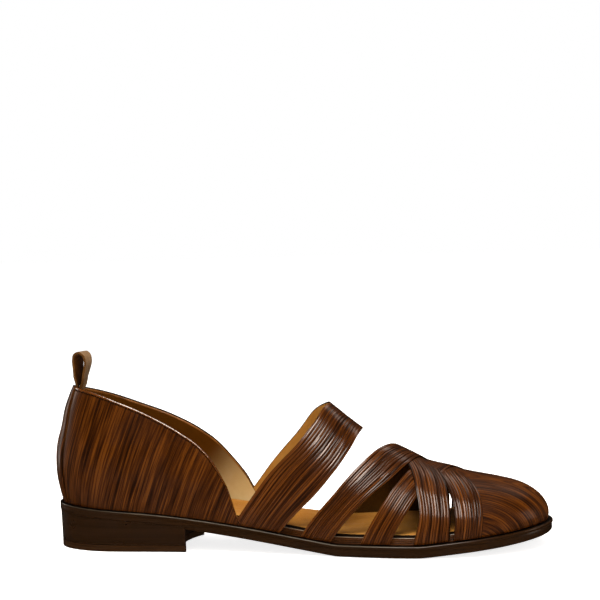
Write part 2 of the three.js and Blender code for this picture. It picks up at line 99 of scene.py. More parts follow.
def add_camera():
    data = bpy.data.cameras.new("camera")
    data.sensor_width = SENSOR
    data.lens = CAMERA_DISTANCE / MM_PER_PIXEL * SENSOR / FRAME_PIXELS
    data.shift_x = (FRAME_PIXELS / 2 - TARGET_PIXEL.x) / FRAME_PIXELS
    data.shift_y = (TARGET_PIXEL.y - FRAME_PIXELS / 2) / FRAME_PIXELS
    right, up, back = camera_axes()
    place = TO_FRAME @ (TARGET + CAMERA_DISTANCE * back)
    camera = bpy.data.objects.new("camera", data)
    turn = Matrix((right, up, back)).transposed().to_4x4()
    camera.matrix_world = Matrix.Translation(place) @ turn
    bpy.context.scene.collection.objects.link(camera)
    bpy.context.scene.camera = camera
    print(f"camera with a {data.lens:.1f} mm lens at {tuple(round(v, 3) for v in place)}")


add_camera()

# %% [markdown]
# ## The last
# Every leather part of a shoe is pulled over a last, so every part here is worked out on one. Its plan, the
# line of its sole and the height of its ridge are short tables of shares of its length and width, joined
# by smooth lines. A lattice or a sculpted form could do the same, but it wouldn't match the solids.

# %% Sizes of the last
LAST_LENGTH = 270
BALL_WIDTH = 84
HEEL_REACH = 36
TOE_REACH = 54
INSTEP_HEIGHT = 68
COUNTER_HEIGHT = 65.5
COUNTER_SWELL = 3.6
UNDERCUT = 2
UNDERCUT_HEIGHT = 5
TOE_RIDGE_SETBACK = 21
SEAT_HEIGHT = 25.4
TOE_SPRING = 7
GROUND_FLAT = 0.2
SOLE_THICKNESS = 6.7
SEAT_THICKNESS = 4.2
LASTING_LIFT = 0.3

PLAN = {
    "along": [0.0, 0.12, 0.22, 0.34, 0.45, 0.55, 0.65, 0.73, 0.81, 0.9, 1.0],
    "centre": [0.0, -0.004, -0.012, -0.034, -0.052, -0.05, -0.034, -0.014, 0.01, 0.034, 0.055],
    "half": [0.297, 0.294, 0.289, 0.29, 0.318, 0.375, 0.448, 0.49, 0.497, 0.492, 0.49],
}
HEEL_LINE = {
    "along": [-0.017, 0.098, 0.283, 0.413, 0.517, 0.598, 0.654, 0.691, 1.017],
    "rise": [1.0, 0.877, 0.656, 0.462, 0.269, 0.104, 0.019, 0.0, 0.0],
}
TOE_LINE = {
    "along": [-0.017, 0.735, 0.783, 0.817, 0.876, 0.913, 0.972, 1.017],
    "rise": [0.0, 0.0, 0.171, 0.314, 0.5, 0.614, 0.829, 1.0],
}
SOLE_EDGE = {
    "along": [-0.02, 0.06, 0.26, 0.36, 0.55, 0.8, 1.02],
    "full": [0.0, 0.2, 0.9, 1.0, 1.0, 1.0, 1.0],
    "back": [1.0, 0.8, 0.0, 0.0, 0.0, 0.0, 0.0],
    "toe": [0.0, 0.0, 0.0, 0.0, 0.2, 0.8, 1.0],
}
RIDGE = {
    "along": [0.357, 0.506, 0.572, 0.633, 0.698, 0.757, 0.843, 0.911, 0.951, 0.991, 1.009],
    "rise": [1.235, 1.184, 0.99, 0.806, 0.65, 0.528, 0.406, 0.334, 0.287, 0.228, 0.191],
    "lean": [0.05, 0.07, 0.09, 0.11, 0.13, 0.14, 0.13, 0.1, 0.08, 0.06, 0.06],
    "box": [1.0, 1.0, 1.0, 1.0, 0.98, 0.95, 0.88, 0.84, 0.82, 0.8, 0.8],
}
COUNTER = {
    "up": [0, 0.076, 0.18, 0.34, 0.495, 0.65, 0.81, 0.925, 1],
    "back": [-0.1, 0.2, 0.6, 0.78, 0.5, -0.3, -1.0, -1.83, -2.5],
    "side": [0, 0.3, 0.45, 0.5, 0.2, -0.4, -1.0, -1.5, -1.8],
}


# %% [markdown]
# A last maker bends a thin lath through a few marks and draws along it. The same is done here with a cubic
# through the table's points. Its slope at each point is a mean of the slopes on both sides, so it doesn't
# swing past the points as a single high polynomial would.

# %% Smooth lines through a table
def smooth_line(table, start, end):
    """A smooth function through a table's points, from one of its columns to another."""
    at, value = table[start], table[end]
    slopes = [(value[i + 1] - value[i]) / (at[i + 1] - at[i]) for i in range(len(at) - 1)]
    tangents = [slopes[0]]
    for i in range(1, len(at) - 1):
        before, after = at[i] - at[i - 1], at[i + 1] - at[i]
        tangents.append((after * slopes[i - 1] + before * slopes[i]) / (before + after))
    tangents.append(slopes[-1])

    def line(x):
        held = min(max(x, at[0]), at[-1])
        i = min(bisect_right(at, held) - 1, len(at) - 2)
        run = at[i + 1] - at[i]
        t = (held - at[i]) / run
        u = 1 - t
        bend = run * t * u * (u * tangents[i] - t * tangents[i + 1])
        return value[i] * u * u * (1 + 2 * t) + value[i + 1] * t * t * (1 + 2 * u) + bend

    return line


def smooth_lines(table, start, *ends):
    return [smooth_line(table, start, end) for end in ends]


def mix(a, b, share):
    return a + (b - a) * share


plan_centre, plan_half = smooth_lines(PLAN, "along", "centre", "half")
heel_rise = smooth_line(HEEL_LINE, "along", "rise")
toe_rise = smooth_line(TOE_LINE, "along", "rise")
sole_full, welt_at_back, welt_at_toe = smooth_lines(SOLE_EDGE, "along", "full", "back", "toe")
ridge_rise, ridge_lean, ridge_box = smooth_lines(RIDGE, "along", "rise", "lean", "box")
counter_back, counter_side = smooth_lines(COUNTER, "up", "back", "side")
ridge_heights = [round(INSTEP_HEIGHT * ridge_rise(along)) for along in (0.5, 0.6, 0.7, 0.8, 0.9)]
print("ridge over the vamp, in mm:", ridge_heights)

# %% [markdown]
# The sole's line gives the height of the lasting line, where the upper turns under. The outline in plan is
# an arc round the heel, a straight stretch and an arc round the toe, and a place on it is given by the
# run, its length from the back.

# %% Sole line and outline
HEEL_ARC = HEEL_REACH * math.pi / 2
TOE_ARC = TOE_REACH * math.pi / 2
TOE_RUN = HEEL_ARC + LAST_LENGTH - HEEL_REACH - TOE_REACH
FULL_RUN = TOE_RUN + TOE_ARC
PLAN_STEP = 0.5


def sole_bottom(x):
    heel, toe = heel_rise(x / LAST_LENGTH), toe_rise(x / LAST_LENGTH)
    line = heel * (SEAT_HEIGHT - SEAT_THICKNESS) + toe * TOE_SPRING
    return max(0, line - GROUND_FLAT * (1 - heel) * (1 - toe))


def sole_top(x):
    return sole_bottom(x) + mix(SEAT_THICKNESS, SOLE_THICKNESS, sole_full(x / LAST_LENGTH))


def lasting_line(x):
    return sole_top(x) + GAP


def feather_line(x):
    return lasting_line(x) + LASTING_LIFT


def run_at(x):
    if x < HEEL_REACH:
        return HEEL_REACH * math.acos(1 - x / HEEL_REACH)
    straight = LAST_LENGTH - TOE_REACH
    if x < straight:
        return HEEL_ARC + x - HEEL_REACH
    return TOE_RUN + TOE_REACH * math.asin(min(1, (x - straight) / TOE_REACH))


def outline(run, side):
    """Plan point at a run, on the outer edge (side -1) or the inner one (side 1)."""
    x, swing = HEEL_REACH + run - HEEL_ARC, 1
    if run < HEEL_ARC:
        x = HEEL_REACH * (1 - math.cos(run / HEEL_REACH))
        swing = math.sin(run / HEEL_REACH)
    if run > TOE_RUN:
        turn = min(1, (run - TOE_RUN) / TOE_ARC) * math.pi / 2
        x = LAST_LENGTH + TOE_REACH * (math.sin(turn) - 1)
        swing = math.cos(turn)
    along = x / LAST_LENGTH
    return Vector((x, BALL_WIDTH * (plan_centre(along) + side * swing * plan_half(along))))


def outline_normal(run, side):
    if run <= 0:
        return Vector((-1, 0))
    if run >= FULL_RUN:
        return Vector((1, 0))
    step = min(PLAN_STEP, run, FULL_RUN - run)
    tangent = (outline(run + step, side) - outline(run - step, side)).normalized()
    return Vector((-tangent.y, tangent.x)) * side


def outline_offset(run, side, out):
    return outline(run, side) + outline_normal(run, side) * out


print(f"the outline is {FULL_RUN:.0f} mm long on each side")

# %% [markdown]
# A point on the last is given by its run and its side, from -1 at the outer edge over the ridge (0) to 1 at
# the inner edge. The sections fan out round the toe, so the ridge falls behind the outline there. The
# quarter has its own rule, because it stands up from the seat instead of closing over the foot.

# %% Points on the last
RIDGE_END = LAST_LENGTH - TOE_RIDGE_SETBACK
FAN_LAG = HEEL_ARC - HEEL_REACH
FAN_START = FULL_RUN - 2 * (FULL_RUN - (RIDGE_END + FAN_LAG))
RUN_STEP = 0.4
SIDE_STEP = 0.01
TIP_REACH = 0.01


def ridge_run(run):
    past = max(0, run - FAN_START)
    return run - past * past / (2 * (FULL_RUN - FAN_START)) - FAN_LAG


def last_point(run, side):
    hand = 1 if side >= 0 else -1
    edge = outline(run, hand)
    x = ridge_run(run)
    along = x / LAST_LENGTH
    turn = (1 - abs(side)) * math.pi / 2
    box = ridge_box(along)
    ridge = Vector((x, BALL_WIDTH * (plan_centre(along) + ridge_lean(along))))
    plan = ridge.lerp(edge, max(0, math.cos(turn)) ** box)
    low = feather_line(edge.x)
    ceiling = feather_line(plan.x) + INSTEP_HEIGHT * ridge_rise(plan.x / LAST_LENGTH)
    height = (ceiling - low) * math.sin(turn) ** box
    outward = UNDERCUT * (1 - math.exp(-height / UNDERCUT_HEIGHT)) * math.cos(turn)
    plan += outline_normal(run, hand) * outward
    return Vector((plan.x, plan.y, low + height))


def shell_point(run, side, out):
    """The point on the last, pushed out square to its surface."""
    at_tip = run > FULL_RUN - TIP_REACH
    held = -abs(side) if at_tip else side
    along = last_point(min(FULL_RUN, run + RUN_STEP), held) - last_point(run - RUN_STEP, held)
    around = last_point(run, min(1, held + SIDE_STEP)) - last_point(run, max(-1, held - SIDE_STEP))
    normal = along.cross(around).normalized()
    if at_tip:
        normal = Vector((normal.x, 0, normal.z)).normalized()
    point = last_point(run, held) + normal * out
    point.z = max(point.z, feather_line(point.x))
    return point


def quarter_point(run, side, height, out):
    """A point of the quarter at a height over the lasting line."""
    normal = outline_normal(run, side)
    up = height / COUNTER_HEIGHT
    swell = COUNTER_SWELL * mix(counter_side(up), counter_back(up), normal.x ** 2)
    plan = outline_offset(run, side, swell + out)
    return Vector((plan.x, plan.y, feather_line(outline(run, side).x) + height))


print("toe tip of the last:", tuple(round(v, 1) for v in last_point(FULL_RUN, 0)))

# %% [markdown]
# ## Helpers for bent bands
# Nearly every part is a band with the same section all along: a strap, the rolled quarter, the rand, a
# sole. Such a band starts as a flat grid. Its long edges are welded into a tube, and each vertex is moved
# to its place on the last. A curve with a bevel object could do that too, but here the same grid
# gives a pattern map in real millimetres, which the grain of the leather follows. Each corner of the
# section also says how much painted shade it takes, as in a groove or on a cut edge, and how much it is
# lightened by wear and by painted highlight.

# %% Bend a grid into a band
WELD = 0.002
SMOOTH_ANGLE = math.radians(42)
Corner = namedtuple("Corner", "across out finish groove rub", defaults=(0, 0, 0))


def bend_band(columns, corners, place, pattern):
    """A closed band. Each corner of its section runs the whole length and paints the face after it."""
    band = bmesh.new()
    uv = band.loops.layers.uv.new("pattern")
    groove = band.verts.layers.float.new("groove")
    rub = band.verts.layers.float.new("rub")
    rows = len(corners)
    bmesh.ops.create_grid(band, x_segments=columns, y_segments=rows, size=0.5)
    flat = {vert: (vert.co.x + 0.5, round((vert.co.y + 0.5) * rows)) for vert in band.verts}
    for face in band.faces:
        row = min(flat[vert][1] for vert in face.verts)
        face.material_index = corners[row].finish
        for loop in face.loops:
            along, k = flat[loop.vert]
            loop[uv].uv = pattern(along, corners[k % rows])
    for vert, (along, k) in flat.items():
        corner = corners[k % rows]
        vert[groove] = corner.groove
        vert[rub] = corner.rub
        vert.co = place(along, corner)
    bmesh.ops.remove_doubles(band, verts=band.verts, dist=WELD)
    bmesh.ops.dissolve_degenerate(band, dist=WELD, edges=band.edges)
    return band


def close_ends(band):
    rims = [edge for edge in band.edges if edge.is_boundary]
    bmesh.ops.holes_fill(band, edges=rims, sides=0)


def make_piece(shape, name, finishes, slot, *nodes, sharp=SMOOTH_ANGLE):
    """Turns a bmesh into a finished piece that rides on the frame and stands for CAD nodes."""
    bmesh.ops.recalc_face_normals(shape, faces=shape.faces)
    for face in shape.faces:
        face.smooth = True
    for edge in shape.edges:
        edge.smooth = len(edge.link_faces) == 2 and edge.calc_face_angle(0) < sharp
    mesh = bpy.data.meshes.new(name)
    shape.to_mesh(mesh)
    shape.free()
    for finish in finishes:
        mesh.materials.append(finish)
    piece = bpy.data.objects.new(name, mesh)
    bpy.context.scene.collection.objects.link(piece)
    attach(piece, "root")
    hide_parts(*nodes)
    size = [round(v / MM) for v in piece.dimensions]
    print(f"{name}: {len(mesh.polygons)} faces, {size} mm")


def put_in_frame(shape):
    bmesh.ops.transform(shape, matrix=TO_FRAME, verts=shape.verts)
    return shape


def upper_piece(band, name, *finishes, sharp=SMOOTH_ANGLE):
    """One of the pieces that together stand for the upper's single solid."""
    make_piece(put_in_frame(band), name, finishes, "upper_leather", "upper", sharp=sharp)


# %% [markdown]
# ## Finishes
# The leather of this shoe is dyed in streaks like planed walnut and waxed to a soft gloss. A streak is a
# noise that is stretched along one direction, so one node group draws it for every part, and each part
# says which way its streaks run. Grain and pores are a group as well, and so are worn edges with painted
# highlights and painted shade.

# %% Helpers for node trees
def add_node(tree, kind, **settings):
    made = tree.nodes.new(kind)
    for name, value in settings.items():
        setattr(made, name, value)
    return made


def join(tree, value, socket):
    """Links an output to a socket, or sets the socket to a plain value."""
    if isinstance(value, bpy.types.NodeSocket):
        tree.links.new(value, socket)
    else:
        socket.default_value = value


def math_node(tree, operation, *values):
    made = add_node(tree, "ShaderNodeMath", operation=operation)
    for value, socket in zip(values, made.inputs):
        join(tree, value, socket)
    return made.outputs[0]


def mix_colours(tree, share, first, second):
    made = add_node(tree, "ShaderNodeMix", data_type="RGBA")
    join(tree, share, made.inputs[0])
    join(tree, first, made.inputs[6])
    join(tree, second, made.inputs[7])
    return made.outputs[2]


def spread(tree, value, low, high, to_low=0.0, to_high=1.0):
    """Maps a value from one range to another, softly."""
    made = add_node(tree, "ShaderNodeMapRange", interpolation_type="SMOOTHSTEP")
    for socket, given in zip(made.inputs, (value, low, high, to_low, to_high)):
        join(tree, given, socket)
    return made.outputs[0]


def vector_of(tree, *parts):
    made = add_node(tree, "ShaderNodeCombineXYZ")
    for part, socket in zip(parts, made.inputs):
        join(tree, part, socket)
    return made.outputs[0]


def parts_of(tree, vector):
    made = add_node(tree, "ShaderNodeSeparateXYZ")
    tree.links.new(vector, made.inputs[0])
    return made.outputs


def object_place(tree):
    return add_node(tree, "ShaderNodeTexCoord").outputs["Object"]


def noise_at(tree, vector, scale, detail=3.0, roughness=0.55):
    made = add_node(tree, "ShaderNodeTexNoise")
    join(tree, vector, made.inputs["Vector"])
    join(tree, scale, made.inputs["Scale"])
    made.inputs["Detail"].default_value = detail
    made.inputs["Roughness"].default_value = roughness
    return made.outputs["Fac"]


def new_group(name, takes, gives):
    """An empty node group with named sockets. Returns its tree, its input and its output node."""
    tree = bpy.data.node_groups.new(name, "ShaderNodeTree")
    for label, kind, value in takes:
        socket = tree.interface.new_socket(label, in_out="INPUT", socket_type=kind)
        if value is not None:
            socket.default_value = value
    for label, kind in gives:
        tree.interface.new_socket(label, in_out="OUTPUT", socket_type=kind)
    return tree, add_node(tree, "NodeGroupInput"), add_node(tree, "NodeGroupOutput")


def use_group(tree, group, **values):
    made = add_node(tree, "ShaderNodeGroup", node_tree=group)
    for name, value in values.items():
        join(tree, value, made.inputs[name])
    return made


def colour(red, green, blue):
    """An eight-bit screen colour as the linear one that shaders read."""
    shares = [v / 255 for v in (red, green, blue)]
    linear = [v / 12.92 if v <= 0.04045 else ((v + 0.055) / 1.055) ** 2.4 for v in shares]
    return (*linear, 1)


# %% [markdown]
# The streaks have three sizes, as in real timber or hand-dyed leather: broad bands of tone some
# millimetres wide, streaks of about a millimetre, and hairlines. Along the streak all are drawn out many
# times over, and a slow sway keeps them from running dead straight. Their sum mixes three dyes.

# %% Streaked dye
FLOAT, TONE = "NodeSocketFloat", "NodeSocketColor"
StreakSize = namedtuple("StreakSize", "scale share")
STREAK_SIZES = [StreakSize(0.25, 0.22), StreakSize(1.1, 0.38), StreakSize(2.8, 0.4)]
SWAY_SCALE = 0.06
SWAY_REACH = 4.0
DARK_TO_MIDDLE = (0.4, 0.51)
MIDDLE_TO_LIGHT = (0.49, 0.6)
PORE_EDGE = 0.12
WAX_PATCHES = 60.0
WEAR_AND_HIGHLIGHT_PATCHES = 140.0
LEAST_WEAR_AND_HIGHLIGHT = 0.35


def streak_group():
    tree, given, out = new_group(
        "streaked_dye",
        [("Across", FLOAT, 0.0), ("Along", FLOAT, 0.0), ("Width", FLOAT, 3.0), ("Stretch", FLOAT, 16.0),
         ("Dark", TONE, None), ("Middle", TONE, None), ("Light", TONE, None)],
        [("Color", TONE), ("Height", FLOAT)])
    take = given.outputs
    along = math_node(tree, "DIVIDE", take["Along"], take["Stretch"])
    place = vector_of(tree, take["Across"], along, 0.0)
    sway = math_node(tree, "MULTIPLY", noise_at(tree, place, SWAY_SCALE, 1.0), SWAY_REACH)
    across = math_node(tree, "DIVIDE", math_node(tree, "ADD", take["Across"], sway), take["Width"])
    place = vector_of(tree, across, math_node(tree, "DIVIDE", along, take["Width"]), 0.0)
    tone = 0.0
    for size in STREAK_SIZES:
        streaks = noise_at(tree, place, size.scale, 2.0, 0.5)
        tone = math_node(tree, "MULTIPLY_ADD", streaks, size.share, tone)
    low = mix_colours(tree, spread(tree, tone, *DARK_TO_MIDDLE), take["Dark"], take["Middle"])
    dyed = mix_colours(tree, spread(tree, tone, *MIDDLE_TO_LIGHT), low, take["Light"])
    tree.links.new(dyed, out.inputs["Color"])
    tree.links.new(tone, out.inputs["Height"])
    return tree


def pore_group():
    """Pores and fine creases of calf leather from a cell pattern, and a mask of waxed patches."""
    tree, given, out = new_group(
        "calf_pores", [("Cells", FLOAT, 900.0)], [("Height", FLOAT), ("Mask", FLOAT)])
    place = object_place(tree)
    cells = add_node(tree, "ShaderNodeTexVoronoi", feature="DISTANCE_TO_EDGE")
    tree.links.new(place, cells.inputs["Vector"])
    tree.links.new(given.outputs["Cells"], cells.inputs["Scale"])
    tree.links.new(spread(tree, cells.outputs["Distance"], 0.0, PORE_EDGE), out.inputs["Height"])
    patches = noise_at(tree, place, WAX_PATCHES, 4.0)
    tree.links.new(spread(tree, patches, 0.35, 0.7), out.inputs["Mask"])
    return tree


def wear_and_painted_light_group():
    """Worn edges and painted highlights, and painted shade in grooves and on edges."""
    tree, given, out = new_group(
        "wear_highlight_and_shade",
        [("Color", TONE, None), ("Rubbed", TONE, None), ("Shade Colour", TONE, None), ("Rub", FLOAT, 0.0),
         ("Groove", FLOAT, 0.0)],
        [("Color", TONE)])
    take = given.outputs
    patches = noise_at(tree, object_place(tree), WEAR_AND_HIGHLIGHT_PATCHES)
    patches = spread(tree, patches, 0.3, 0.62, LEAST_WEAR_AND_HIGHLIGHT, 1.0)
    share = math_node(tree, "MULTIPLY", take["Rub"], patches)
    wear_and_highlight_tone = mix_colours(tree, share, take["Color"], take["Rubbed"])
    tree.links.new(mix_colours(tree, take["Groove"], wear_and_highlight_tone, take["Shade Colour"]), out.inputs["Color"])
    return tree


STREAKS = streak_group()
PORES = pore_group()
WEAR_AND_PAINTED_LIGHT = wear_and_painted_light_group()
print("shared groups:", [group.name for group in bpy.data.node_groups])

# %% [markdown]
# Calf leather has a base, a wax coat and a height. The base colour comes from the streaks, the coat gives
# the long soft highlights, and the height adds the streaks' relief and the pores. The pale streaks take
# more wax than the dark ones, so a highlight breaks up along them.

# %% Upper leather
DARK_DYE = colour(28, 10, 1)
MIDDLE_DYE = colour(58, 26, 2)
LIGHT_DYE = colour(92, 48, 7)
# The fourth dye lightens worn edges and is a painted highlight on the bead's top; the fifth is painted
# shade.
WEAR_AND_HIGHLIGHT_DYE = colour(88, 46, 9)
PAINTED_SHADE_DYE = colour(10, 4, 1)
CALF_CELLS = 900.0
CALF_RELIEF = 0.05
PORE_SHARE = 0.1
WAXED_TONES = (0.42, 0.58)


def attribute(tree, name):
    return add_node(tree, "ShaderNodeAttribute", attribute_name=name).outputs["Fac"]


def pattern_map(tree):
    """Across and along, in millimetres, from the piece's own pattern map."""
    return parts_of(tree, add_node(tree, "ShaderNodeUVMap", uv_map="pattern").outputs[0])[:2]


def new_material(name, roughness, coat, coat_roughness=0.18, specular=0.07):
    material = bpy.data.materials.new(name)
    material.use_nodes = True
    shader = material.node_tree.nodes["Principled BSDF"]
    shader.inputs["Roughness"].default_value = roughness
    shader.inputs["Coat Weight"].default_value = coat
    shader.inputs["Coat Roughness"].default_value = coat_roughness
    shader.inputs["Specular IOR Level"].default_value = specular
    return material, material.node_tree, shader


def add_relief(tree, shader, height, depth):
    bump = add_node(tree, "ShaderNodeBump")
    bump.inputs["Distance"].default_value = depth * MM
    tree.links.new(height, bump.inputs["Height"])
    tree.links.new(bump.outputs[0], shader.inputs["Normal"])


def add_wear_and_painted_light(tree, shader, tone, wear_and_highlight_tone):
    """Puts worn edges, painted highlights and painted shade over a tone, and feeds the base colour."""
    worn = use_group(tree, WEAR_AND_PAINTED_LIGHT, Color=tone, Rubbed=wear_and_highlight_tone, Rub=attribute(tree, "rub"),
                     Groove=attribute(tree, "groove"))
    worn.inputs["Shade Colour"].default_value = PAINTED_SHADE_DYE
    tree.links.new(worn.outputs["Color"], shader.inputs["Base Color"])


def add_pores(tree, shader, cells, smoothest, roughest):
    """Pores, with a roughness that changes between waxed and dry patches."""
    pores = use_group(tree, PORES, Cells=cells).outputs
    rough = spread(tree, pores["Mask"], 0.0, 1.0, smoothest, roughest)
    tree.links.new(rough, shader.inputs["Roughness"])
    return pores


def add_streaks(tree, across, along, width, stretch, dyes, shade):
    dark, middle, light = ((*(v * shade for v in dye[:3]), 1) for dye in dyes)
    return use_group(tree, STREAKS, Across=across, Along=along, Width=width, Stretch=stretch,
                     Dark=dark, Middle=middle, Light=light).outputs


def streaked_leather(name, place, width, stretch, shade=1.0, roughness=0.36, coat=0.25):
    """Waxed calf with streaks. place(tree) gives the across and along values in millimetres."""
    material, tree, shader = new_material(name, roughness, coat)
    streaks = add_streaks(tree, *place(tree), width, stretch, (DARK_DYE, MIDDLE_DYE, LIGHT_DYE), shade)
    add_wear_and_painted_light(tree, shader, streaks["Color"], WEAR_AND_HIGHLIGHT_DYE)
    pores = add_pores(tree, shader, CALF_CELLS, roughness - 0.06, roughness + 0.08)
    polish = spread(tree, streaks["Height"], *WAXED_TONES, 0.4 * coat, 1.6 * coat)
    tree.links.new(polish, shader.inputs["Coat Weight"])
    height = math_node(tree, "MULTIPLY_ADD", pores["Height"], PORE_SHARE, streaks["Height"])
    add_relief(tree, shader, height, CALF_RELIEF)
    return material


print("calf dyes, linear:", [[round(v, 3) for v in dye[:3]] for dye in (DARK_DYE, MIDDLE_DYE, LIGHT_DYE)])

# %% [markdown]
# On the quarter the streaks follow the pattern map: they stand up at the back and lean to the front more
# and more, as the leather was pulled. The inner side is the same hide further on, so its pattern is
# shifted. Straps and bead are waxed more than the rest, and a higher index of their coat does that. The
# front straps are a little duller than the two behind them.

# %% Quarter, bead and strap leather
BEAD_GLOSS = 2.2
STRAP_GLOSS = 1.6
FRONT_STRAP_GLOSS = 1.42
BACK_LEAN = 0.16
FRONT_LEAN = 0.3
QUARTER_RUN = 127.0
SIDE_SHIFT = 900.0


def leaning_map(tree):
    """The quarter's pattern map, leaned over by a share that grows with the run."""
    way, height = pattern_map(tree)
    run = math_node(tree, "ABSOLUTE", way)
    share = math_node(tree, "DIVIDE", run, QUARTER_RUN)
    lean = math_node(tree, "MULTIPLY_ADD", share, FRONT_LEAN, BACK_LEAN)
    across = math_node(tree, "SUBTRACT", run, math_node(tree, "MULTIPLY", height, lean))
    inner = math_node(tree, "MULTIPLY", math_node(tree, "GREATER_THAN", way, 0.0), SIDE_SHIFT)
    return math_node(tree, "ADD", across, inner), height


STRAP_STREAKS = {"width": 1.3, "stretch": 60, "coat": 0.6}
# The quarter takes the calf dyes darkened to 0.78, as painted shade.
quarter_leather = streaked_leather("quarter_leather", leaning_map, width=1.3, stretch=45, shade=0.78,
                                   coat=0.12)
strap_leather = streaked_leather("strap_leather", pattern_map, **STRAP_STREAKS)
front_strap_leather = streaked_leather("front_strap_leather", pattern_map, **STRAP_STREAKS)
bead_leather = streaked_leather("bead_leather", leaning_map, width=1.4, stretch=45, roughness=0.3,
                                coat=0.62)
for leather, gloss in ((bead_leather, BEAD_GLOSS), (strap_leather, STRAP_GLOSS),
                       (front_strap_leather, FRONT_STRAP_GLOSS)):
    leather.node_tree.nodes["Principled BSDF"].inputs["Coat IOR"].default_value = gloss
    print(f"{leather.name}: coat index {gloss}")

# %% [markdown]
# On the toe cap the streaks sweep over the toe in arcs and end at the sole, like the figure of a plank that
# was cut across a knot. Their distance from one point low at the cap's back edge draws them, and over the
# ridge the distance from the middle line takes part, so they run lengthwise there.

# %% Toe cap leather
CAP_SWEEP_AT = Vector((236, 0, -4))
CAP_FALL = 0.6
CAP_RIDGE_ROUND = 25.0
CAP_TURN_LENGTH = 30.0


def sweeping_map(tree):
    place = add_node(tree, "ShaderNodeMapping")
    tree.links.new(object_place(tree), place.inputs["Vector"])
    centre = TO_FRAME @ CAP_SWEEP_AT
    place.inputs["Location"].default_value = -centre / MM
    place.inputs["Scale"].default_value = (1 / MM,) * 3
    x, y, z = parts_of(tree, place.outputs[0])
    squares = math_node(tree, "ADD", math_node(tree, "MULTIPLY", x, x), math_node(tree, "MULTIPLY", z, z))
    reach = math_node(tree, "SQRT", squares)
    aside = math_node(tree, "SQRT", math_node(tree, "MULTIPLY_ADD", y, y, CAP_RIDGE_ROUND))
    turn = math_node(tree, "MULTIPLY", math_node(tree, "ARCTAN2", z, x), CAP_TURN_LENGTH)
    return math_node(tree, "MULTIPLY_ADD", aside, -CAP_FALL, reach), turn


# The cap takes the calf dyes darkened to 0.86, as painted shade.
cap_leather = streaked_leather("cap_leather", sweeping_map, width=1.2, stretch=40, shade=0.86,
                               roughness=0.42, coat=0.06)
print("cap leather sweeps from", tuple(round(v, 3) for v in TO_FRAME @ CAP_SWEEP_AT))

# %% [markdown]
# Lining and footbed are undyed vegetable-tanned leather: pale, dry and golden, with soft darker clouds
# where they have taken up wax. Towards the heel and the top the lining is painted dark, as painted shade,
# and it fades along a slanting front. The cut edges are burnished and darkened further with painted
# shade, and the rand's upper edge is burnished and carries a pale painted highlight.

# %% Plain leathers
PLAIN_CELLS = 1100.0
PLAIN_RELIEF = 0.06
CLOUD_SCALE = 25.0
CLOUD_EDGES = (0.32, 0.68)
LINING_SHADE_FRONT = (72.0, 116.0)
LINING_SHADE_LEAN = 0.8


def plain_leather(name, dark, light, roughness, coat=0.0, heel_painted_shade=None):
    """Plain leather with soft clouds. heel_painted_shade darkens it towards the back and the top,
    along LINING_SHADE_FRONT, as painted shade.
    """
    material, tree, shader = new_material(name, roughness, coat)
    clouds = noise_at(tree, object_place(tree), CLOUD_SCALE, 5.0, 0.6)
    tone = mix_colours(tree, spread(tree, clouds, *CLOUD_EDGES), dark, light)
    if heel_painted_shade:
        way, height = pattern_map(tree)
        front = math_node(tree, "MULTIPLY_ADD", height, -LINING_SHADE_LEAN, math_node(tree, "ABSOLUTE", way))
        tone = mix_colours(tree, spread(tree, front, *LINING_SHADE_FRONT), heel_painted_shade, tone)
    add_wear_and_painted_light(tree, shader, tone, light)
    pores = add_pores(tree, shader, PLAIN_CELLS, roughness - 0.05, roughness + 0.07)
    add_relief(tree, shader, pores["Height"], PLAIN_RELIEF)
    return material


strap_lining = plain_leather("strap_lining", colour(170, 118, 50), colour(196, 146, 74), 0.62)
# The dark lining inside the vamp straps and the cap is painted shade.
vamp_lining_painted_shade = plain_leather("vamp_lining_painted_shade", colour(52, 32, 6), colour(78, 50, 12), 0.7)
# The lining darkens towards the heel and the top, as painted shade.
quarter_lining = plain_leather("quarter_lining", colour(200, 170, 114), colour(224, 196, 146), 0.62,
                               heel_painted_shade=colour(88, 50, 4))
footbed_tan = plain_leather("footbed_tan", colour(150, 98, 36), colour(178, 126, 58), 0.5, coat=0.1)
# Cut edges are burnished dark, and darker still as painted shade.
edge_leather = plain_leather("burnished_edge_painted_shade", colour(26, 10, 2), colour(132, 82, 34), 0.45, coat=0.2)
rand_leather = plain_leather("rand_leather", colour(26, 11, 2), colour(74, 40, 12), 0.36, coat=0.25)
# The loop's pale grey-tan outside is a painted highlight.
loop_leather = plain_leather("loop_outside_painted_highlight", colour(86, 62, 38), colour(132, 104, 74), 0.4, coat=0.35)
loop_edge = plain_leather("loop_edge", colour(40, 22, 5), colour(86, 54, 18), 0.45, coat=0.2)
# The rand's pale upper edge is a painted highlight.
rand_painted_highlight = plain_leather("rand_painted_highlight", colour(104, 86, 66), colour(150, 132, 112), 0.3, coat=0.5)
# The footbed's near-black side is painted shade.
footbed_side_painted_shade = plain_leather("footbed_side_painted_shade", colour(12, 6, 1), colour(24, 13, 4), 0.6)
for leather in (strap_lining, vamp_lining_painted_shade, quarter_lining, footbed_tan, footbed_side_painted_shade, edge_leather,
                rand_leather, rand_painted_highlight, loop_leather, loop_edge):
    print("plain leather:", leather.name)

# %% [markdown]
# Sole and heel edges are stained nearly black-brown, sanded and waxed. Very fine level lines are left by
# the layers of leather, so the streak group serves here too, laid flat. The sole's upper corner carries a
# pale grey painted highlight along the waist and the ball, and is dark again towards the toe.

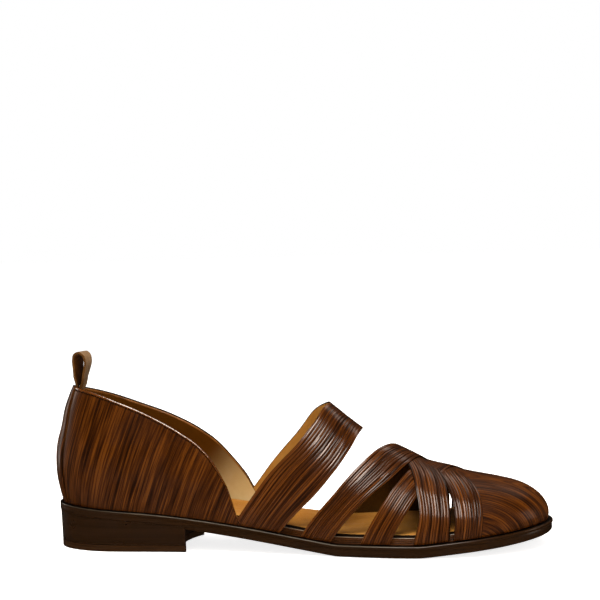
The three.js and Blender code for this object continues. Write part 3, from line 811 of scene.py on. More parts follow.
# %% Sole finishes
SOLE_DYES = [colour(30, 15, 2), colour(33, 17, 3), colour(38, 20, 4)]
SOLE_HIGHLIGHT_DYES = [colour(46, 40, 30), colour(66, 58, 46), colour(84, 74, 60)]
SOLE_HIGHLIGHT_ENDS = (180.0, 216.0)
LAYER_STRETCH = 60.0
SANDED_CELLS = 500.0
SANDED_RELIEF = 0.4


def sole_finish(name, dyes, shade, roughness, coat, width=1.6, relief=0.02, ends=None):
    """Waxed sole edge with level layers. ends says where a painted highlight fades to the dark finish."""
    material, tree, shader = new_material(name, roughness, coat, coat_roughness=0.25)
    place = parts_of(tree, object_place(tree))
    x, y, z = (math_node(tree, "MULTIPLY", part, 1 / MM) for part in place)
    layers = add_streaks(tree, z, math_node(tree, "ADD", x, y), width, LAYER_STRETCH, dyes, shade)
    tone = layers["Color"]
    if ends:
        start, stop = ((TO_FRAME @ Vector((end, 0, 0))).x for end in ends)
        tone = mix_colours(tree, spread(tree, place[0], start, stop), tone, SOLE_DYES[2])
    tree.links.new(tone, shader.inputs["Base Color"])
    pores = add_pores(tree, shader, SANDED_CELLS, roughness - 0.07, roughness + 0.1)
    sanded = math_node(tree, "MULTIPLY", pores["Mask"], SANDED_RELIEF)
    add_relief(tree, shader, math_node(tree, "ADD", layers["Height"], sanded), relief)
    return material


sole_edge_finish = sole_finish("sole_edge_wax", SOLE_DYES, 0.95, 0.36, 0.25)
# The pale grey upper corner of the sole is a painted highlight.
sole_corner_highlight = sole_finish("sole_corner_painted_highlight", SOLE_HIGHLIGHT_DYES, 0.7, 0.3, 0.4, ends=SOLE_HIGHLIGHT_ENDS)
# The sole's top face, seen as a black line under the upper, is painted nearly black as painted shade.
sole_top_shade = sole_finish("sole_top_painted_shade", SOLE_DYES, 0.2, 0.6, 0.0)
heel_finish = sole_finish("heel_wax", SOLE_DYES, 0.85, 0.34, 0.35, width=2.4)
rubber_finish = sole_finish("lift_rubber", SOLE_DYES, 1.4, 0.45, 0.1, width=0.8, relief=0.03)
for finish in (sole_edge_finish, sole_corner_highlight, sole_top_shade, heel_finish, rubber_finish):
    print("sole finish:", finish.name)

# %% [markdown]
# ## The quarter
# The quarter wraps the heel in one piece and falls away to the waist on both sides. Its top edge is turned
# in over a cord, so there is a bead with a painted highlight on its top, then a fine seam line, a shallow
# groove darkened with painted shade, then a turned edge darkened with painted shade and the edge of the
# pale lining. One band does it: a section that goes up the outer face, over the bead and down the lining,
# carried round the heel. Each row of the rolled edge gives its drop below the top, its distance from the
# last, its finish, its painted shade, and its wear and highlight.

# %% Quarter
WALL = 1.8
TOPLINE = {
    "along": [0.0, 0.0323, 0.0826, 0.1436, 0.2205, 0.2712, 0.3081, 0.3348, 0.3574, 0.3719, 0.381, 0.388,
              0.394],
    "outer": [1, 0.994, 0.971, 0.907, 0.795, 0.703, 0.62, 0.524, 0.397, 0.285, 0.158, 0.06, 0.02],
    "inner": [0.985, 0.965, 0.921, 0.855, 0.76, 0.671, 0.575, 0.468, 0.365, 0.29, 0.225, 0.18, 0.1],
}
topline_outer, topline_inner = smooth_lines(TOPLINE, "along", "outer", "inner")
QUARTER_FRONT = run_at(TOPLINE["along"][-1] * LAST_LENGTH)
LEATHER, LINING, EDGE, BEAD, SEAM = range(5)
ROLL_DEPTH = 2.6
ROLL_SHARE = 0.3
Roll = namedtuple("Roll", "drop out finish groove rub", defaults=(0,))
# Its fourth column is painted shade, its fifth wear and, on the bead's top, painted highlight.
TOPLINE_ROLL = [
    Roll(2.6, 1.80, LEATHER, 0.0),
    Roll(1.9, 1.80, LEATHER, 0.2),
    Roll(1.65, 1.45, LEATHER, 1.0),
    Roll(1.4, 1.65, BEAD, 0.6),
    Roll(1.05, 1.98, BEAD, 0.0, 0.6),
    Roll(0.6, 2.05, BEAD, 0.0, 1.0),
    Roll(0.2, 1.9, BEAD, 0.0, 1.0),
    Roll(0.0, 1.5, BEAD, 0.3, 0.4),
    Roll(0.15, 0.95, LEATHER, 0.8),
    Roll(0.8, 0.8, EDGE, 1.0),
    Roll(0.75, 0.6, EDGE, 0.0, 1.0),
    Roll(0.8, 0.3, EDGE, 0.0, 1.0),
    Roll(1.2, 0.0, EDGE, 0.0, 1.0),
    Roll(1.8, 0.0, EDGE, 0.0, 1.0),
    Roll(1.9, 0.0, LINING, 0.0),
]


def quarter_way(along):
    """Run and side at a share of the way from the outer front edge round the heel to the inner one."""
    way = (2 * along - 1) * QUARTER_FRONT
    return abs(way), -1 if way < 0 else 1


def topline_height(run, side):
    share = (topline_outer if side < 0 else topline_inner)(outline(run, side).x / LAST_LENGTH)
    return share * COUNTER_HEIGHT


def make_quarter(columns=220, wall_rows=26):
    rise = [Corner(k / wall_rows, WALL, LEATHER) for k in range(wall_rows)]
    roll = [Corner(2 - row.drop / ROLL_DEPTH, row.out, row.finish, row.groove, row.rub)
            for row in TOPLINE_ROLL]
    fall = [Corner(1 - k / wall_rows, 0, LINING) for k in range(1, wall_rows + 1)]

    def height_of(run, side, corner):
        """Across is 0 to 1 up the wall, and 1 to 2 over the rolled edge."""
        top = topline_height(run, side)
        depth = min(ROLL_DEPTH, ROLL_SHARE * top)
        if corner.across <= 1:
            return corner.across * (top - depth)
        return top - (2 - corner.across) * depth

    def place(along, corner):
        run, side = quarter_way(along)
        return quarter_point(run, side, height_of(run, side, corner), corner.out)

    def pattern(along, corner):
        run, side = quarter_way(along)
        return (2 * along - 1) * QUARTER_FRONT, height_of(run, side, corner)

    band = bend_band(columns, rise + roll + fall, place, pattern)
    close_ends(band)
    upper_piece(band, "quarter", quarter_leather, quarter_lining, edge_leather, bead_leather)


make_quarter()

# %% [markdown]
# The backstay is a strip of the same leather over the back seam. Its edges are skived thin and stitched
# down, so from the side only a narrow strip shows, with a dark line of painted shade along its edge. Its
# band runs up the heel, and the ends of its section lie in the quarter, so no gap shows along the seam.

# %% Backstay
BACKSTAY_RUN = 20
BACKSTAY_WALL = 0.9
BACKSTAY_ROOT = 0.3
BACKSTAY_DROP = 0.02
SKIVE_WIDTH = 0.0175
SKIVE_LOW = 0.45
SKIVE_HIGH = 0.78


def make_backstay(columns=40, rows=14):
    face = [Corner(k / rows, WALL + BACKSTAY_WALL, LEATHER) for k in range(1, rows)]
    edge_up = [Corner(0, WALL - BACKSTAY_ROOT, EDGE, 1.0), Corner(0, WALL + SKIVE_LOW, LEATHER, 0.5),
               Corner(SKIVE_WIDTH, WALL + SKIVE_HIGH, LEATHER)]
    edge_down = [Corner(1 - SKIVE_WIDTH, WALL + SKIVE_HIGH, LEATHER),
                 Corner(1, WALL + SKIVE_LOW, EDGE, 0.5), Corner(1, WALL - BACKSTAY_ROOT, EDGE, 1.0)]

    def place(along, corner):
        way = (2 * corner.across - 1) * BACKSTAY_RUN
        run, side = abs(way), -1 if way < 0 else 1
        height = along * topline_height(run, side) - BACKSTAY_DROP
        return quarter_point(run, side, height, corner.out)

    def pattern(along, corner):
        return (2 * corner.across - 1) * BACKSTAY_RUN, along * COUNTER_HEIGHT

    band = bend_band(columns, edge_up + face + edge_down, place, pattern)
    close_ends(band)
    upper_piece(band, "backstay", quarter_leather, quarter_lining, edge_leather)


make_backstay()

# %% [markdown]
# ## The pleated straps
# Each strap is a wide strip of thin leather laid in narrow lengthwise pleats, with its long edges turned
# under. Four of them are woven over the vamp and one crosses the instep. A table for each strap goes from
# the outer side over the ridge to the inner one. It says where the strap's two edges lie, as shares of the
# last's length, and by how many steps it is raised where it passes over another strap.

# %% Straps over the last
CROSSING_STEP = 1.1
SIDES_11 = [k / 5 for k in range(-5, 6)]
SIDES_9 = [k / 4 for k in range(-4, 5)]
STRAPS = {
    "instep_strap": {
        "side": SIDES_11,
        "back": [0.378, 0.4425, 0.5065, 0.5395, 0.5535, 0.56, 0.549, 0.5215, 0.4835, 0.4175, 0.3515],
        "front": [0.475, 0.546, 0.5885, 0.613, 0.6235, 0.627, 0.62, 0.603, 0.573, 0.53, 0.459],
        "raise": [0] * 11,
    },
    "outer_rear_strap": {
        "side": SIDES_9,
        "back": [0.5185, 0.585, 0.6315, 0.6646, 0.69, 0.709, 0.716, 0.715, 0.7],
        "front": [0.58, 0.643, 0.695, 0.7245, 0.742, 0.768, 0.788, 0.7985, 0.796],
        "raise": [0, 0, 0.2, 1.6, 1.4, 0.6, 0, 0, 0],
    },
    "outer_middle_strap": {
        "side": SIDES_9,
        "back": [0.746, 0.757, 0.7465, 0.727, 0.69, 0.672, 0.64, 0.592, 0.528],
        "front": [0.8155, 0.8186, 0.813, 0.798, 0.769, 0.738, 0.7, 0.655, 0.6],
        "raise": [0, 0.2, 0.9, 0.9, 0.4, 0, 0, 0, 0],
    },
    "outer_second_strap": {
        "side": SIDES_9,
        "back": [0.641, 0.68, 0.7105, 0.735, 0.762, 0.786, 0.798, 0.8035, 0.8],
        "front": [0.699, 0.7315, 0.7585, 0.788, 0.816, 0.844, 0.868, 0.878, 0.874],
        "raise": [0, 0, 0, 0, 1.1, 0.6, 0.4, 0.4, 0.4],
    },
    "outer_front_strap": {
        "side": SIDES_9,
        "back": [0.8235, 0.8265, 0.8175, 0.797, 0.77, 0.73, 0.69, 0.643, 0.598],
        "front": [0.876, 0.8795, 0.8785, 0.869, 0.8475, 0.806, 0.752, 0.71, 0.692],
        "raise": [0.4, 0.4, 0.4, 0.3, 0.1, 1.4, 1, 0.2, 0],
    },
}
for name, table in STRAPS.items():
    widths = [round(LAST_LENGTH * (table["front"][k] - table["back"][k])) for k in (0, -1)]
    print(f"{name}: {widths} mm wide at its ends")

# %% [markdown]
# Bump alone would leave the outline of a strap smooth, so the pleats are in its section: a row of rounded
# ribs with narrow grooves between them. They drift a little along the strap, because they are laid by hand.
# Over the ridge the leather is stretched and the grooves are shallow, on the sides they are deep. Each
# strap also has a few soft folds that fade out at both ends. A cloth simulation would give folds too, but
# not at chosen places, so each fold is a row of a table.

# %% Pleats and folds
PLEATS = {"instep_strap": 13, "outer_rear_strap": 12, "outer_middle_strap": 10, "outer_second_strap": 10,
          "outer_front_strap": 10}
PLEAT_DEPTH = 0.42
PLEAT_STRENGTH = {
    "side": [-1, -0.75, -0.5, -0.2, 0, 0.3, 0.7, 1],
    "instep": [0.25, 0.8, 1.0, 0.5, 0.12, 0.4, 0.9, 0.4],
    "vamp": [0.5, 0.8, 1.0, 0.8, 0.4, 0.8, 0.9, 0.5],
}
PLEAT_DRIFT = 0.35
Fold = namedtuple("Fold", "across start end depth width")
FOLDS = {
    "instep_strap": [Fold(0.27, -0.75, -0.2, 0.3, 0.04), Fold(0.5, -0.85, -0.3, 0.45, 0.05),
                     Fold(0.72, -0.75, -0.25, 0.5, 0.05), Fold(0.88, -0.6, -0.1, 0.3, 0.04)],
    "outer_rear_strap": [Fold(0.3, -0.75, -0.25, 0.4, 0.05), Fold(0.55, -0.8, -0.3, 0.4, 0.05),
                         Fold(0.8, -0.8, -0.4, 0.35, 0.05)],
    "outer_middle_strap": [Fold(0.35, -0.7, -0.1, 0.35, 0.05), Fold(0.7, -0.8, -0.2, 0.35, 0.05)],
    "outer_second_strap": [Fold(0.45, -0.75, -0.2, 0.45, 0.06), Fold(0.75, -0.7, -0.3, 0.3, 0.05)],
    "outer_front_strap": [Fold(0.3, -0.8, -0.2, 0.35, 0.05), Fold(0.65, -0.8, -0.25, 0.35, 0.05)],
}
print("folds:", {name: len(folds) for name, folds in FOLDS.items()})

# %% [markdown]
# A strap's section has ribs on top, round edges and a flat lining underneath. The upper corners are worn
# lighter, and the cut edges and the grooves between the ribs are darkened with painted shade. On the two
# straps that lie uppermost at the front the upper corners are painted dark instead, as painted shade,
# which parts them from the straps below.

# %% Section of a strap
EDGE_ROUND = 0.022
EDGE_GROOVE = 0.3
CROWN = 0.3
RIB = [(0.0, 0.0), (0.07, 0.5), (0.2, 0.85), (0.55, 1.0), (0.85, 0.75)]
# Straps whose upper corners are painted dark, as painted shade.
SHADE_EDGED = ("outer_middle_strap", "outer_front_strap")
HIGH, MIDDLE, LOW, LOWEST = (share * WALL for share in (0.9, 0.7, 0.35, 0.06))


def strap_section(pleats, edge_shade):
    """Closed section of a strap, up its rear edge, over the ribs and back underneath."""
    top = []
    for pleat in range(pleats):
        for at, rise in RIB:
            across = mix(EDGE_ROUND, 1 - EDGE_ROUND, (pleat + at) / pleats)
            outermost = pleat == 0 and at == 0
            depth = PLEAT_DEPTH * (1 - rise) * (EDGE_GROOVE if outermost else 1)
            top.append(Corner(across, WALL - depth, LEATHER, 0 if outermost else (1 - rise) ** 2))
    rear = [Corner(0, LOW, EDGE, 1), Corner(0, MIDDLE, EDGE, 1),
            Corner(EDGE_ROUND / 3, HIGH, LEATHER, edge_shade, 1)]
    front = [Corner(1 - EDGE_ROUND, WALL - EDGE_GROOVE * PLEAT_DEPTH, LEATHER, edge_shade, 0.7),
             Corner(1 - EDGE_ROUND / 3, HIGH, LEATHER, edge_shade, 0.4), Corner(1, MIDDLE, EDGE, 1),
             Corner(1, LOW, EDGE, 1), Corner(1 - EDGE_ROUND / 2, LOWEST, LINING)]
    under = [Corner(mix(1 - EDGE_ROUND, EDGE_ROUND, k / 8), 0, LINING) for k in range(1, 8)]
    return rear + top + front + under + [Corner(EDGE_ROUND / 2, LOWEST, EDGE)]


print("corners of the instep strap's section:", len(strap_section(PLEATS["instep_strap"], 0)))

# %% [markdown]
# Each strap is laid over the last by its table. Two noises make it uneven: a slow one moves the ribs
# sideways inside the strap, and a quicker one changes the depth of the grooves. The length of a strap's
# name says where in the noise it starts.

# %% Lay the straps
DRIFT_WAVES = (2.5, 2)
DRIFT_WIDTH = 18
UNEVEN_WAVES = (3, 14)
UNEVEN_START = 7
UNEVEN_MEAN = 0.85
UNEVEN_SWING = 1.3
GROOVE_LIMITS = (0.1, 1.3)
PATTERN_WIDTH = 18
PATTERN_SHIFT = 40
STRAP_LENGTH = 0.6 * LAST_LENGTH
WAXED_STRAPS = ("instep_strap", "outer_rear_strap")


def make_strap(name, columns=150):
    back, front, lift = smooth_lines(STRAPS[name], "side", "back", "front", "raise")
    strength = smooth_line(PLEAT_STRENGTH, "side", "instep" if name == "instep_strap" else "vamp")

    def drifted(along, corner):
        """Ribs wander sideways a little, and the strap's edges stay where they are."""
        inside = math.sin(math.pi * corner.across)
        at = Vector((along * DRIFT_WAVES[0], corner.across * DRIFT_WAVES[1], len(name)))
        return corner.across + noise.noise(at) * PLEAT_DRIFT * inside / DRIFT_WIDTH

    def relief(along, corner):
        """Grooves are deeper here and shallower there, and the strap is a little crowned."""
        if corner.out < 0.5 * WALL:
            return corner.out
        side = 2 * along - 1
        at = Vector((along * UNEVEN_WAVES[0], corner.across * UNEVEN_WAVES[1], UNEVEN_START + len(name)))
        depth = strength(side) * (UNEVEN_MEAN + UNEVEN_SWING * noise.noise(at))
        least, most = GROOVE_LIMITS
        low = (WALL - corner.out) * min(max(depth, least), most) + CROWN * (2 * corner.across - 1) ** 2
        for fold in FOLDS[name]:
            if fold.start < side < fold.end:
                fade = math.sin(math.pi * (side - fold.start) / (fold.end - fold.start)) ** 2
                low += fold.depth * fade * math.exp(-((corner.across - fold.across) / fold.width) ** 2)
        return WALL - low

    def place(along, corner):
        side = 2 * along - 1
        x = LAST_LENGTH * mix(back(side), front(side), drifted(along, corner))
        return shell_point(run_at(x), side, CROSSING_STEP * lift(side) + relief(along, corner))

    def pattern(along, corner):
        return PATTERN_WIDTH * corner.across + PATTERN_SHIFT * len(name), STRAP_LENGTH * along

    section = strap_section(PLEATS[name], edge_shade=1 if name in SHADE_EDGED else 0)
    band = bend_band(columns, section, place, pattern)
    close_ends(band)
    outside = strap_leather if name in WAXED_STRAPS else front_strap_leather
    lining = strap_lining if name == "instep_strap" else vamp_lining_painted_shade
    upper_piece(band, name, outside, lining, edge_leather)


for strap in STRAPS:
    make_strap(strap)

# %% [markdown]
# ## The toe cap
# The cap is one plain piece, shaped wet over the toe. Its band runs from the outer sole edge over the ridge
# to the inner one. Its section goes from the back edge forward to the tip and returns on the inside. At the
# tip the two sides of the toe meet and are welded, so the faces between outside and inside come out there.

# %% Toe cap
CAP_EDGE = {"side": [-1, -0.5, 0, 0.5, 1], "back": [0.865, 0.868, 0.826, 0.868, 0.865]}
CAP_INNER_EDGE = 0.008
CAP_BACK_EDGE = [
    Corner(0.0, 0.2, EDGE, 0, 0.6),
    Corner(0.0, 1.1, EDGE, 0, 1),
    Corner(0.004, 1.6, LEATHER, 0, 1),
    Corner(0.014, 1.78, LEATHER, 0, 0.4),
]


def make_cap(columns=96, rows=60):
    back = smooth_line(CAP_EDGE, "side", "back")

    def place(along, corner):
        side = 2 * along - 1
        start = run_at(LAST_LENGTH * back(side))
        return shell_point(mix(start, FULL_RUN, corner.across), side, corner.out)

    def pattern(along, corner):
        return TOE_REACH * corner.across, BALL_WIDTH * along

    outside = [Corner(k / rows, WALL, LEATHER) for k in range(2, rows)]
    inside = [Corner(1 - 2 * k / rows, 0, LINING) for k in range(rows // 2)]
    section = [*CAP_BACK_EDGE, *outside, Corner(1, WALL, SEAM), *inside, Corner(CAP_INNER_EDGE, 0, LINING)]
    band = bend_band(columns, section, place, pattern)
    seam = [face for face in band.faces if face.material_index == SEAM]
    bmesh.ops.delete(band, geom=seam, context="FACES_ONLY")
    close_ends(band)
    upper_piece(band, "toe_cap", cap_leather, vamp_lining_painted_shade, edge_leather)


make_cap()

# %% [markdown]
# ## The rand
# A rand is the strip that runs round the foot of the upper and closes it to the sole. It shows between the
# straps as a low dark wall with three fine turned lines, darkened with painted shade, and a pale painted
# highlight along its upper edge. Its section goes once round the whole shoe, and the two ends of the grid
# are welded at the back. In this section across is the height over the lasting line, in millimetres, and
# finish 1 is the painted highlight.

# %% Rand
RAND_LAP = 0.6
RAND_SMOOTH_ANGLE = math.radians(60)
RAND_SECTION = [
    Corner(0.0, -RAND_DEPTH, 0),
    Corner(0.0, RAND_LAP, 0),
    Corner(0.8, RAND_LAP, 0),
    Corner(0.95, RAND_LAP - 0.25, 0, 1),
    Corner(1.1, RAND_LAP, 0),
    Corner(1.75, RAND_LAP, 0),
    Corner(1.9, RAND_LAP - 0.25, 0, 1),
    Corner(2.05, RAND_LAP, 0),
    Corner(2.8, RAND_LAP, 0),
    Corner(2.95, RAND_LAP - 0.25, 0, 1),
    Corner(3.1, RAND_LAP, 0, 0, 0.5),
    Corner(3.65, RAND_LAP, 1),
    Corner(4.0, RAND_LAP - 0.35, 0, 1),
    Corner(4.0, -RAND_DEPTH + 0.3, 0, 1),
    Corner(3.7, -RAND_DEPTH, 0),
]


def whole_way(along):
    """Run and side at a share of the way round the whole shoe."""
    way = 2 * along
    return (way * FULL_RUN, -1) if way <= 1 else ((2 - way) * FULL_RUN, 1)


def make_rand(columns=360):
    def place(along, corner):
        plan = outline_offset(*whole_way(along), corner.out)
        return Vector((plan.x, plan.y, lasting_line(plan.x) + corner.across))

    def pattern(along, corner):
        return corner.across, 2 * FULL_RUN * along

    band = bend_band(columns, RAND_SECTION, place, pattern)
    upper_piece(band, "rand", rand_leather, rand_painted_highlight, sharp=RAND_SMOOTH_ANGLE)


make_rand()

# %% [markdown]
# ## Insole and outsole
# Both are slabs with a shaped edge. Their section is closed: up the outer edge, across the top, down the
# inner edge and back underneath. It is carried from the heel to the toe, where it shuts like a zip. The
# edge is a table of rims, from the bottom (up 0) to the top (up 1), each inset by some millimetres. The
# corners of this section hold their rim in place of a distance.

# %% Slabs
WELT_WAIST = 1.6
WELT_BACK = 2.4
WELT_TOE = 2.9
Rim = namedtuple("Rim", "up inset finish")
SIDE, TOP, CORNER = range(3)


def welt_out(x):
    """How far the welt stands out from the last: most at the toe, least at the waist."""
    along = x / LAST_LENGTH
    at_back = (WELT_BACK - WELT_WAIST) * welt_at_back(along)
    at_toe = (WELT_TOE - WELT_WAIST) * welt_at_toe(along)
    return WALL + WELT_WAIST + at_back + at_toe


def slab_corners(rims, top_finish, bottom_finish, across_rows=14):
    """Section corners. Across is 0 on the outer edge and 1 on the inner one, and out holds the rim."""
    up = [Corner(0, rim, rim.finish) for rim in rims[:-1]]
    over = [Corner(k / across_rows, rims[-1], top_finish) for k in range(across_rows)]
    down = [Corner(1, rim, rim_below.finish) for rim, rim_below in zip(rims[::-1][:-1], rims[::-1][1:])]
    back = [Corner(1 - k / across_rows, rims[0], bottom_finish) for k in range(across_rows)]
    return up + over + down + back


def make_slab(name, rims, reach, bottom, top, finishes, slot, node, cup=0.0, columns=150):
    """A slab between two lines. reach(x, inset) is its edge's distance from the last's outline."""
    def place(along, corner):
        rim = corner.out
        run = along * FULL_RUN
        ends = []
        for side in (-1, 1):
            ends.append(outline_offset(run, side, reach(outline(run, side).x, rim.inset)))
        plan = ends[0].lerp(ends[1], corner.across)
        hollow = cup * math.sin(math.pi * corner.across) ** 2 * (rim.up == 1) * math.sin(math.pi * along)
        return Vector((plan.x, plan.y, mix(bottom(plan.x), top(plan.x), rim.up) - hollow))

    def pattern(along, corner):
        return corner.across * BALL_WIDTH, along * FULL_RUN

    band = bend_band(columns, slab_corners(rims, TOP, len(finishes) - 1), place, pattern)
    make_piece(put_in_frame(band), name, finishes, slot, node)


OUTSOLE_RIMS = [
    Rim(0.0, 3.0, SIDE), Rim(0.04, 2.0, SIDE), Rim(0.1, 1.15, SIDE), Rim(0.18, 0.6, SIDE),
    Rim(0.27, 0.42, SIDE), Rim(0.66, 0.42, SIDE), Rim(0.7, 0.5, SIDE), Rim(0.74, 0.2, SIDE),
    Rim(0.79, 0.0, SIDE), Rim(0.91, 0.0, SIDE), Rim(0.925, 0.02, CORNER), Rim(0.97, 0.2, CORNER),
    Rim(1.0, 0.6, TOP),
]


def outsole_reach(x, inset):
    return welt_out(x) - inset * sole_full(x / LAST_LENGTH)


make_slab("leather_outsole", OUTSOLE_RIMS, outsole_reach, sole_bottom, sole_top,
          [sole_edge_finish, sole_top_shade, sole_corner_highlight, sole_edge_finish],
          "sole_leather", "outsole")

# %% [markdown]
# The footbed fills the inside of the rand. Its side is board, painted nearly black as painted shade in the
# gap below its edge, and its upper corner is rounded into the golden top, which is hollowed a little as a
# worn footbed is.

# %% Footbed
INSOLE_THICKNESS = 5.4
FOOTBED_CUP = 0.5
INSOLE_RIMS = [
    Rim(0.0, 0.0, SIDE), Rim(0.45, 0.0, SIDE), Rim(0.5, 0.0, SIDE), Rim(0.85, 0.0, SIDE),
    Rim(0.95, 0.25, TOP), Rim(0.99, 0.75, TOP), Rim(1.0, 1.2, TOP),
]
make_slab("footbed", INSOLE_RIMS, lambda x, inset: -RAND_DEPTH - GAP - inset,
          lasting_line, lambda x: lasting_line(x) + INSOLE_THICKNESS,
          [footbed_side_painted_shade, footbed_tan], "footbed_leather", "insole", cup=FOOTBED_CUP)

# %% [markdown]
# ## Heel
# The heel's solids already have the right form, with the hollowed breast. A copy of each is welded, its
# flat faces are joined, and its hard edges are eased with a bevel, because a sanded edge catches the light.
# The stack's top is lifted to close its gap, and only its upright edges are eased, so its joints stay shut.

# %% Heel pieces
HEEL_EDGE_ROUND = 0.4
FLAT_ANGLE = math.radians(1.5)
HARD_ANGLE = math.radians(35)
FACES_UP = 0.7
STANDS_UP = 0.8


def ease_copy(name, node, finish, slot, eased, lift=0.0):
    """A welded copy of a node. eased picks the hard edges to round, and lift closes the gap above it."""
    shape = bmesh.new()
    shape.verts.layers.float.new("rub")
    shape.from_mesh(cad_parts[node].data)
    bmesh.ops.remove_doubles(shape, verts=shape.verts, dist=WELD * MM)
    bmesh.ops.dissolve_limit(shape, angle_limit=FLAT_ANGLE, verts=shape.verts, edges=shape.edges)
    top = [vert for vert in shape.verts if any(face.normal.z > FACES_UP for face in vert.link_faces)]
    bmesh.ops.translate(shape, verts=top, vec=(0, 0, lift * MM))
    hard = [edge for edge in shape.edges if edge.calc_face_angle(0) > HARD_ANGLE and eased(edge)]
    bmesh.ops.bevel(shape, geom=hard, offset=HEEL_EDGE_ROUND * MM, affect="EDGES", segments=3, profile=0.5,
                    material=-1, clamp_overlap=True)
    for face in shape.faces:
        face.material_index = 0
    make_piece(shape, name, [finish], slot, node)


def upright(edge):
    ends = edge.verts[1].co - edge.verts[0].co
    return abs(ends.z) > STANDS_UP * ends.length


def not_top(edge):
    return upright(edge) or all(face.normal.z < FACES_UP for face in edge.link_faces)


ease_copy("stacked_heel", "heel_stack", heel_finish, "heel_leather", upright, lift=0.25)
ease_copy("rubber_lift", "top_lift", rubber_finish, "heel_rubber", not_top)

# %% [markdown]
# ## Pull loop
# A strip of the upper's leather is folded into a loop over the back of the collar. Its centre line is a
# smooth line through a short table, and a flat section with round edges follows it. A loop that was pulled
# often stands a little twisted, so the table also turns the section about an upright axis, in degrees. At
# its foot the loop hugs the hollow of the collar.

# %% Pull loop
LOOP_WIDTH = 11
LOOP_HEIGHT = 18.6
LOOP_SWELL = 6.4
LOOP_WALL = 1.4
LOOP_STEP = 0.1
LOOP_FOOT_PARTS = 4
LOOP_SHIFT = 300
LOOP_LINE = {
    "forward": [0.12, 0.17, 0.19, 0.2, 0.36, 0.7, 1.02, 1.14, 1.02, 0.86, 0.66, 0.36, -0.08],
    "up": [-0.06, 0.18, 0.5, 0.75, 0.91, 0.965, 0.88, 0.68, 0.48, 0.3, 0.1, -0.12, -0.38],
    "turn": [0, -8, -12.5, -16, -16, -11, -6, -3, 0, 2, 4, 3, 0],
}


def loop_line():
    """The loop's centre line and its turn, as smooth functions of its length."""
    points = [Vector((forward * LOOP_SWELL, GAP + up * LOOP_HEIGHT))
              for forward, up in zip(LOOP_LINE["forward"], LOOP_LINE["up"])]
    far = [0]
    for before, after in zip(points, points[1:]):
        far.append(far[-1] + (after - before).length)
    line = {"far": far, "x": [p.x for p in points], "z": [p.y for p in points], "turn": LOOP_LINE["turn"]}
    return *smooth_lines(line, "far", "x", "z", "turn"), far[-1]


def make_pull_loop(columns=80):
    line_x, line_z, line_turn, length = loop_line()
    seat = quarter_point(0, -1, COUNTER_HEIGHT, (WALL + BACKSTAY_WALL) / 2)
    inner = quarter_point(0, -1, COUNTER_HEIGHT, 0).x
    beside = quarter_point(run_at(HEEL_REACH / 12), -1, COUNTER_HEIGHT, 0)
    hollow = (beside.x - inner) / beside.y ** 2
    half, thick, axis = LOOP_WIDTH / 2, LOOP_WALL / 2, LOOP_SWELL / 3

    def place(along, corner):
        far = along * length
        x, z = line_x(far), line_z(far)
        before, after = far - LOOP_STEP, far + LOOP_STEP
        ahead = Vector((line_x(after) - line_x(before), line_z(after) - line_z(before))).normalized()
        x -= ahead.y * corner.out
        z += ahead.x * corner.out
        hug = hollow * min(max(1 - LOOP_FOOT_PARTS * z / LOOP_HEIGHT, 0), 1)
        y = corner.across * half
        swing = Matrix.Rotation(math.radians(line_turn(far)), 2) @ Vector((x - axis, y))
        return Vector((seat.x + axis + swing.x + hug * y * y, swing.y, seat.z + z))

    def pattern(along, corner):
        return corner.across * half + LOOP_SHIFT, along * length

    outside = [Corner(k / 5, thick, LEATHER) for k in range(4, -5, -1)]
    inside = [Corner(k / 5, -thick, LINING) for k in range(-4, 5)]
    rim, high, low = 0.95, thick * 0.9, thick * 0.4
    section = [Corner(rim, high, LEATHER, 0, 0.3), *outside, Corner(-rim, high, EDGE, 0, 0.3),
               Corner(-1, low, EDGE, 0, 0.1), Corner(-1, -low, EDGE, 0, 0.1),
               Corner(-rim, -high, LINING), *inside, Corner(rim, -high, EDGE),
               Corner(1, -low, EDGE, 0, 0.1), Corner(1, low, EDGE, 0, 0.1)]
    band = bend_band(columns, section, place, pattern)
    close_ends(band)
    # The loop's outside is a pale painted highlight, and its inside takes the dark rand leather as painted
    # shade.
    finishes = [loop_leather, rand_leather, loop_edge]
    make_piece(put_in_frame(band), "folded_loop", finishes, "loop_leather", "pull_loop")


make_pull_loop()

# %% [markdown]
# ## Studio
# A white floor and soft, slightly warm lamps: one overhead for the long highlights on the straps, one
# behind for the sheen on the ridge, one low at each end for the edges of heel and toe, and a fill on each
# side. A waxed dark leather goes grey if it mirrors white all round, so only the shaped lamps are
# mirrored. The floor, the fills and nearly all of the white surroundings aren't.

# %% Floor
FLOOR_REACH = 20
FLOOR_WHITE = 0.9
FLOOR_GLOW = 0.8


def add_floor():
    floor = bmesh.new()
    bmesh.ops.create_grid(floor, x_segments=1, y_segments=1, size=FLOOR_REACH)
    mesh = bpy.data.meshes.new("floor")
    floor.to_mesh(mesh)
    floor.free()
    material, _, shader = new_material("floor_white", 0.9, 0.0, specular=0.0)
    shader.inputs["Base Color"].default_value = (*(FLOOR_WHITE,) * 3, 1)
    shader.inputs["Emission Color"].default_value = (1, 1, 1, 1)
    shader.inputs["Emission Strength"].default_value = FLOOR_GLOW
    mesh.materials.append(material)
    piece = bpy.data.objects.new("floor", mesh)
    piece.visible_glossy = False
    bpy.context.scene.collection.objects.link(piece)


add_floor()

# %% [markdown]
# Each lamp is a rectangle that faces the shoe. Its size shapes the highlight that it leaves in the wax, and
# its power the brightness. The world is white to the camera, lights softly, and is hardly mirrored.

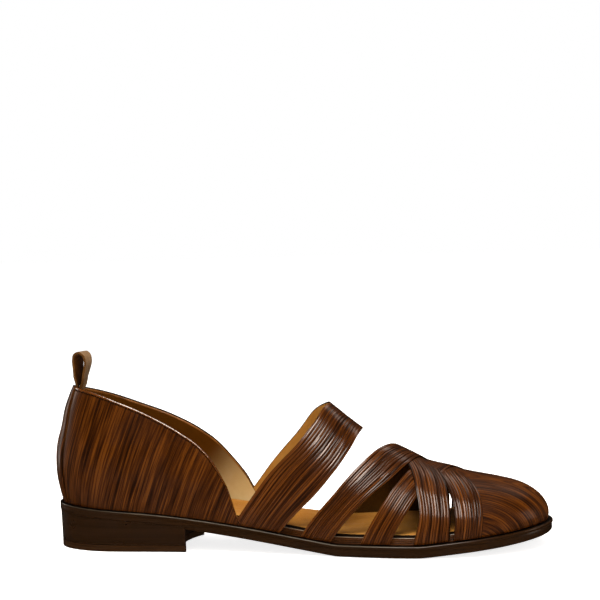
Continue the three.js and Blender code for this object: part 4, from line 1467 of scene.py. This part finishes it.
# %% Lamps and world
LAMP_AIM = Vector((0, 0, 0.04))
LAMP_COLOUR = (1, 0.92, 0.83)
Lamp = namedtuple("Lamp", "name place width height power mirrored")
LAMPS = [
    Lamp("overhead", (0.02, -0.28, 0.95), 0.5, 0.75, 14, True),
    Lamp("behind", (0.1, 0.8, 0.7), 1.0, 0.25, 0.8, True),
    Lamp("heel_side", (-0.9, 0.35, 0.2), 0.25, 0.5, 1.6, True),
    Lamp("toe_side", (0.95, 0.1, 0.25), 0.25, 0.5, 1.5, True),
    Lamp("front_fill", (0.2, -1.3, 0.7), 1.4, 1.0, 6, False),
    Lamp("inner_fill", (-0.2, 1.3, 0.7), 1.4, 1.0, 2.5, False),
]


def add_lamp(lamp):
    data = bpy.data.lights.new(lamp.name, "AREA")
    data.shape = "RECTANGLE"
    data.size, data.size_y, data.energy = lamp.width, lamp.height, lamp.power
    data.color = LAMP_COLOUR
    stand = bpy.data.objects.new(lamp.name, data)
    aim = LAMP_AIM - Vector(lamp.place)
    turn = aim.to_track_quat("-Z", "Y").to_matrix().to_4x4()
    stand.matrix_world = Matrix.Translation(lamp.place) @ turn
    stand.visible_glossy = lamp.mirrored
    bpy.context.scene.collection.objects.link(stand)


def light_the_world(seen, spread_light, mirrored):
    """White behind the shoe, soft light from all round, and little of it mirrored in the gloss."""
    world = bpy.data.worlds.new("studio")
    bpy.context.scene.world = world
    world.use_nodes = True
    tree = world.node_tree
    rays = add_node(tree, "ShaderNodeLightPath").outputs
    parts = [math_node(tree, "MULTIPLY", rays[kind], share) for kind, share in
             (("Is Camera Ray", seen), ("Is Diffuse Ray", spread_light), ("Is Glossy Ray", mirrored))]
    strength = math_node(tree, "ADD", math_node(tree, "ADD", parts[0], parts[1]), parts[2])
    tree.nodes["Background"].inputs["Color"].default_value = (1, 1, 1, 1)
    tree.links.new(strength, tree.nodes["Background"].inputs["Strength"])


for lamp in LAMPS:
    add_lamp(lamp)
light_the_world(seen=1.0, spread_light=0.3, mirrored=0.012)
bpy.context.scene.view_settings.view_transform = "Standard"
print("lamps:", [lamp.name for lamp in LAMPS])
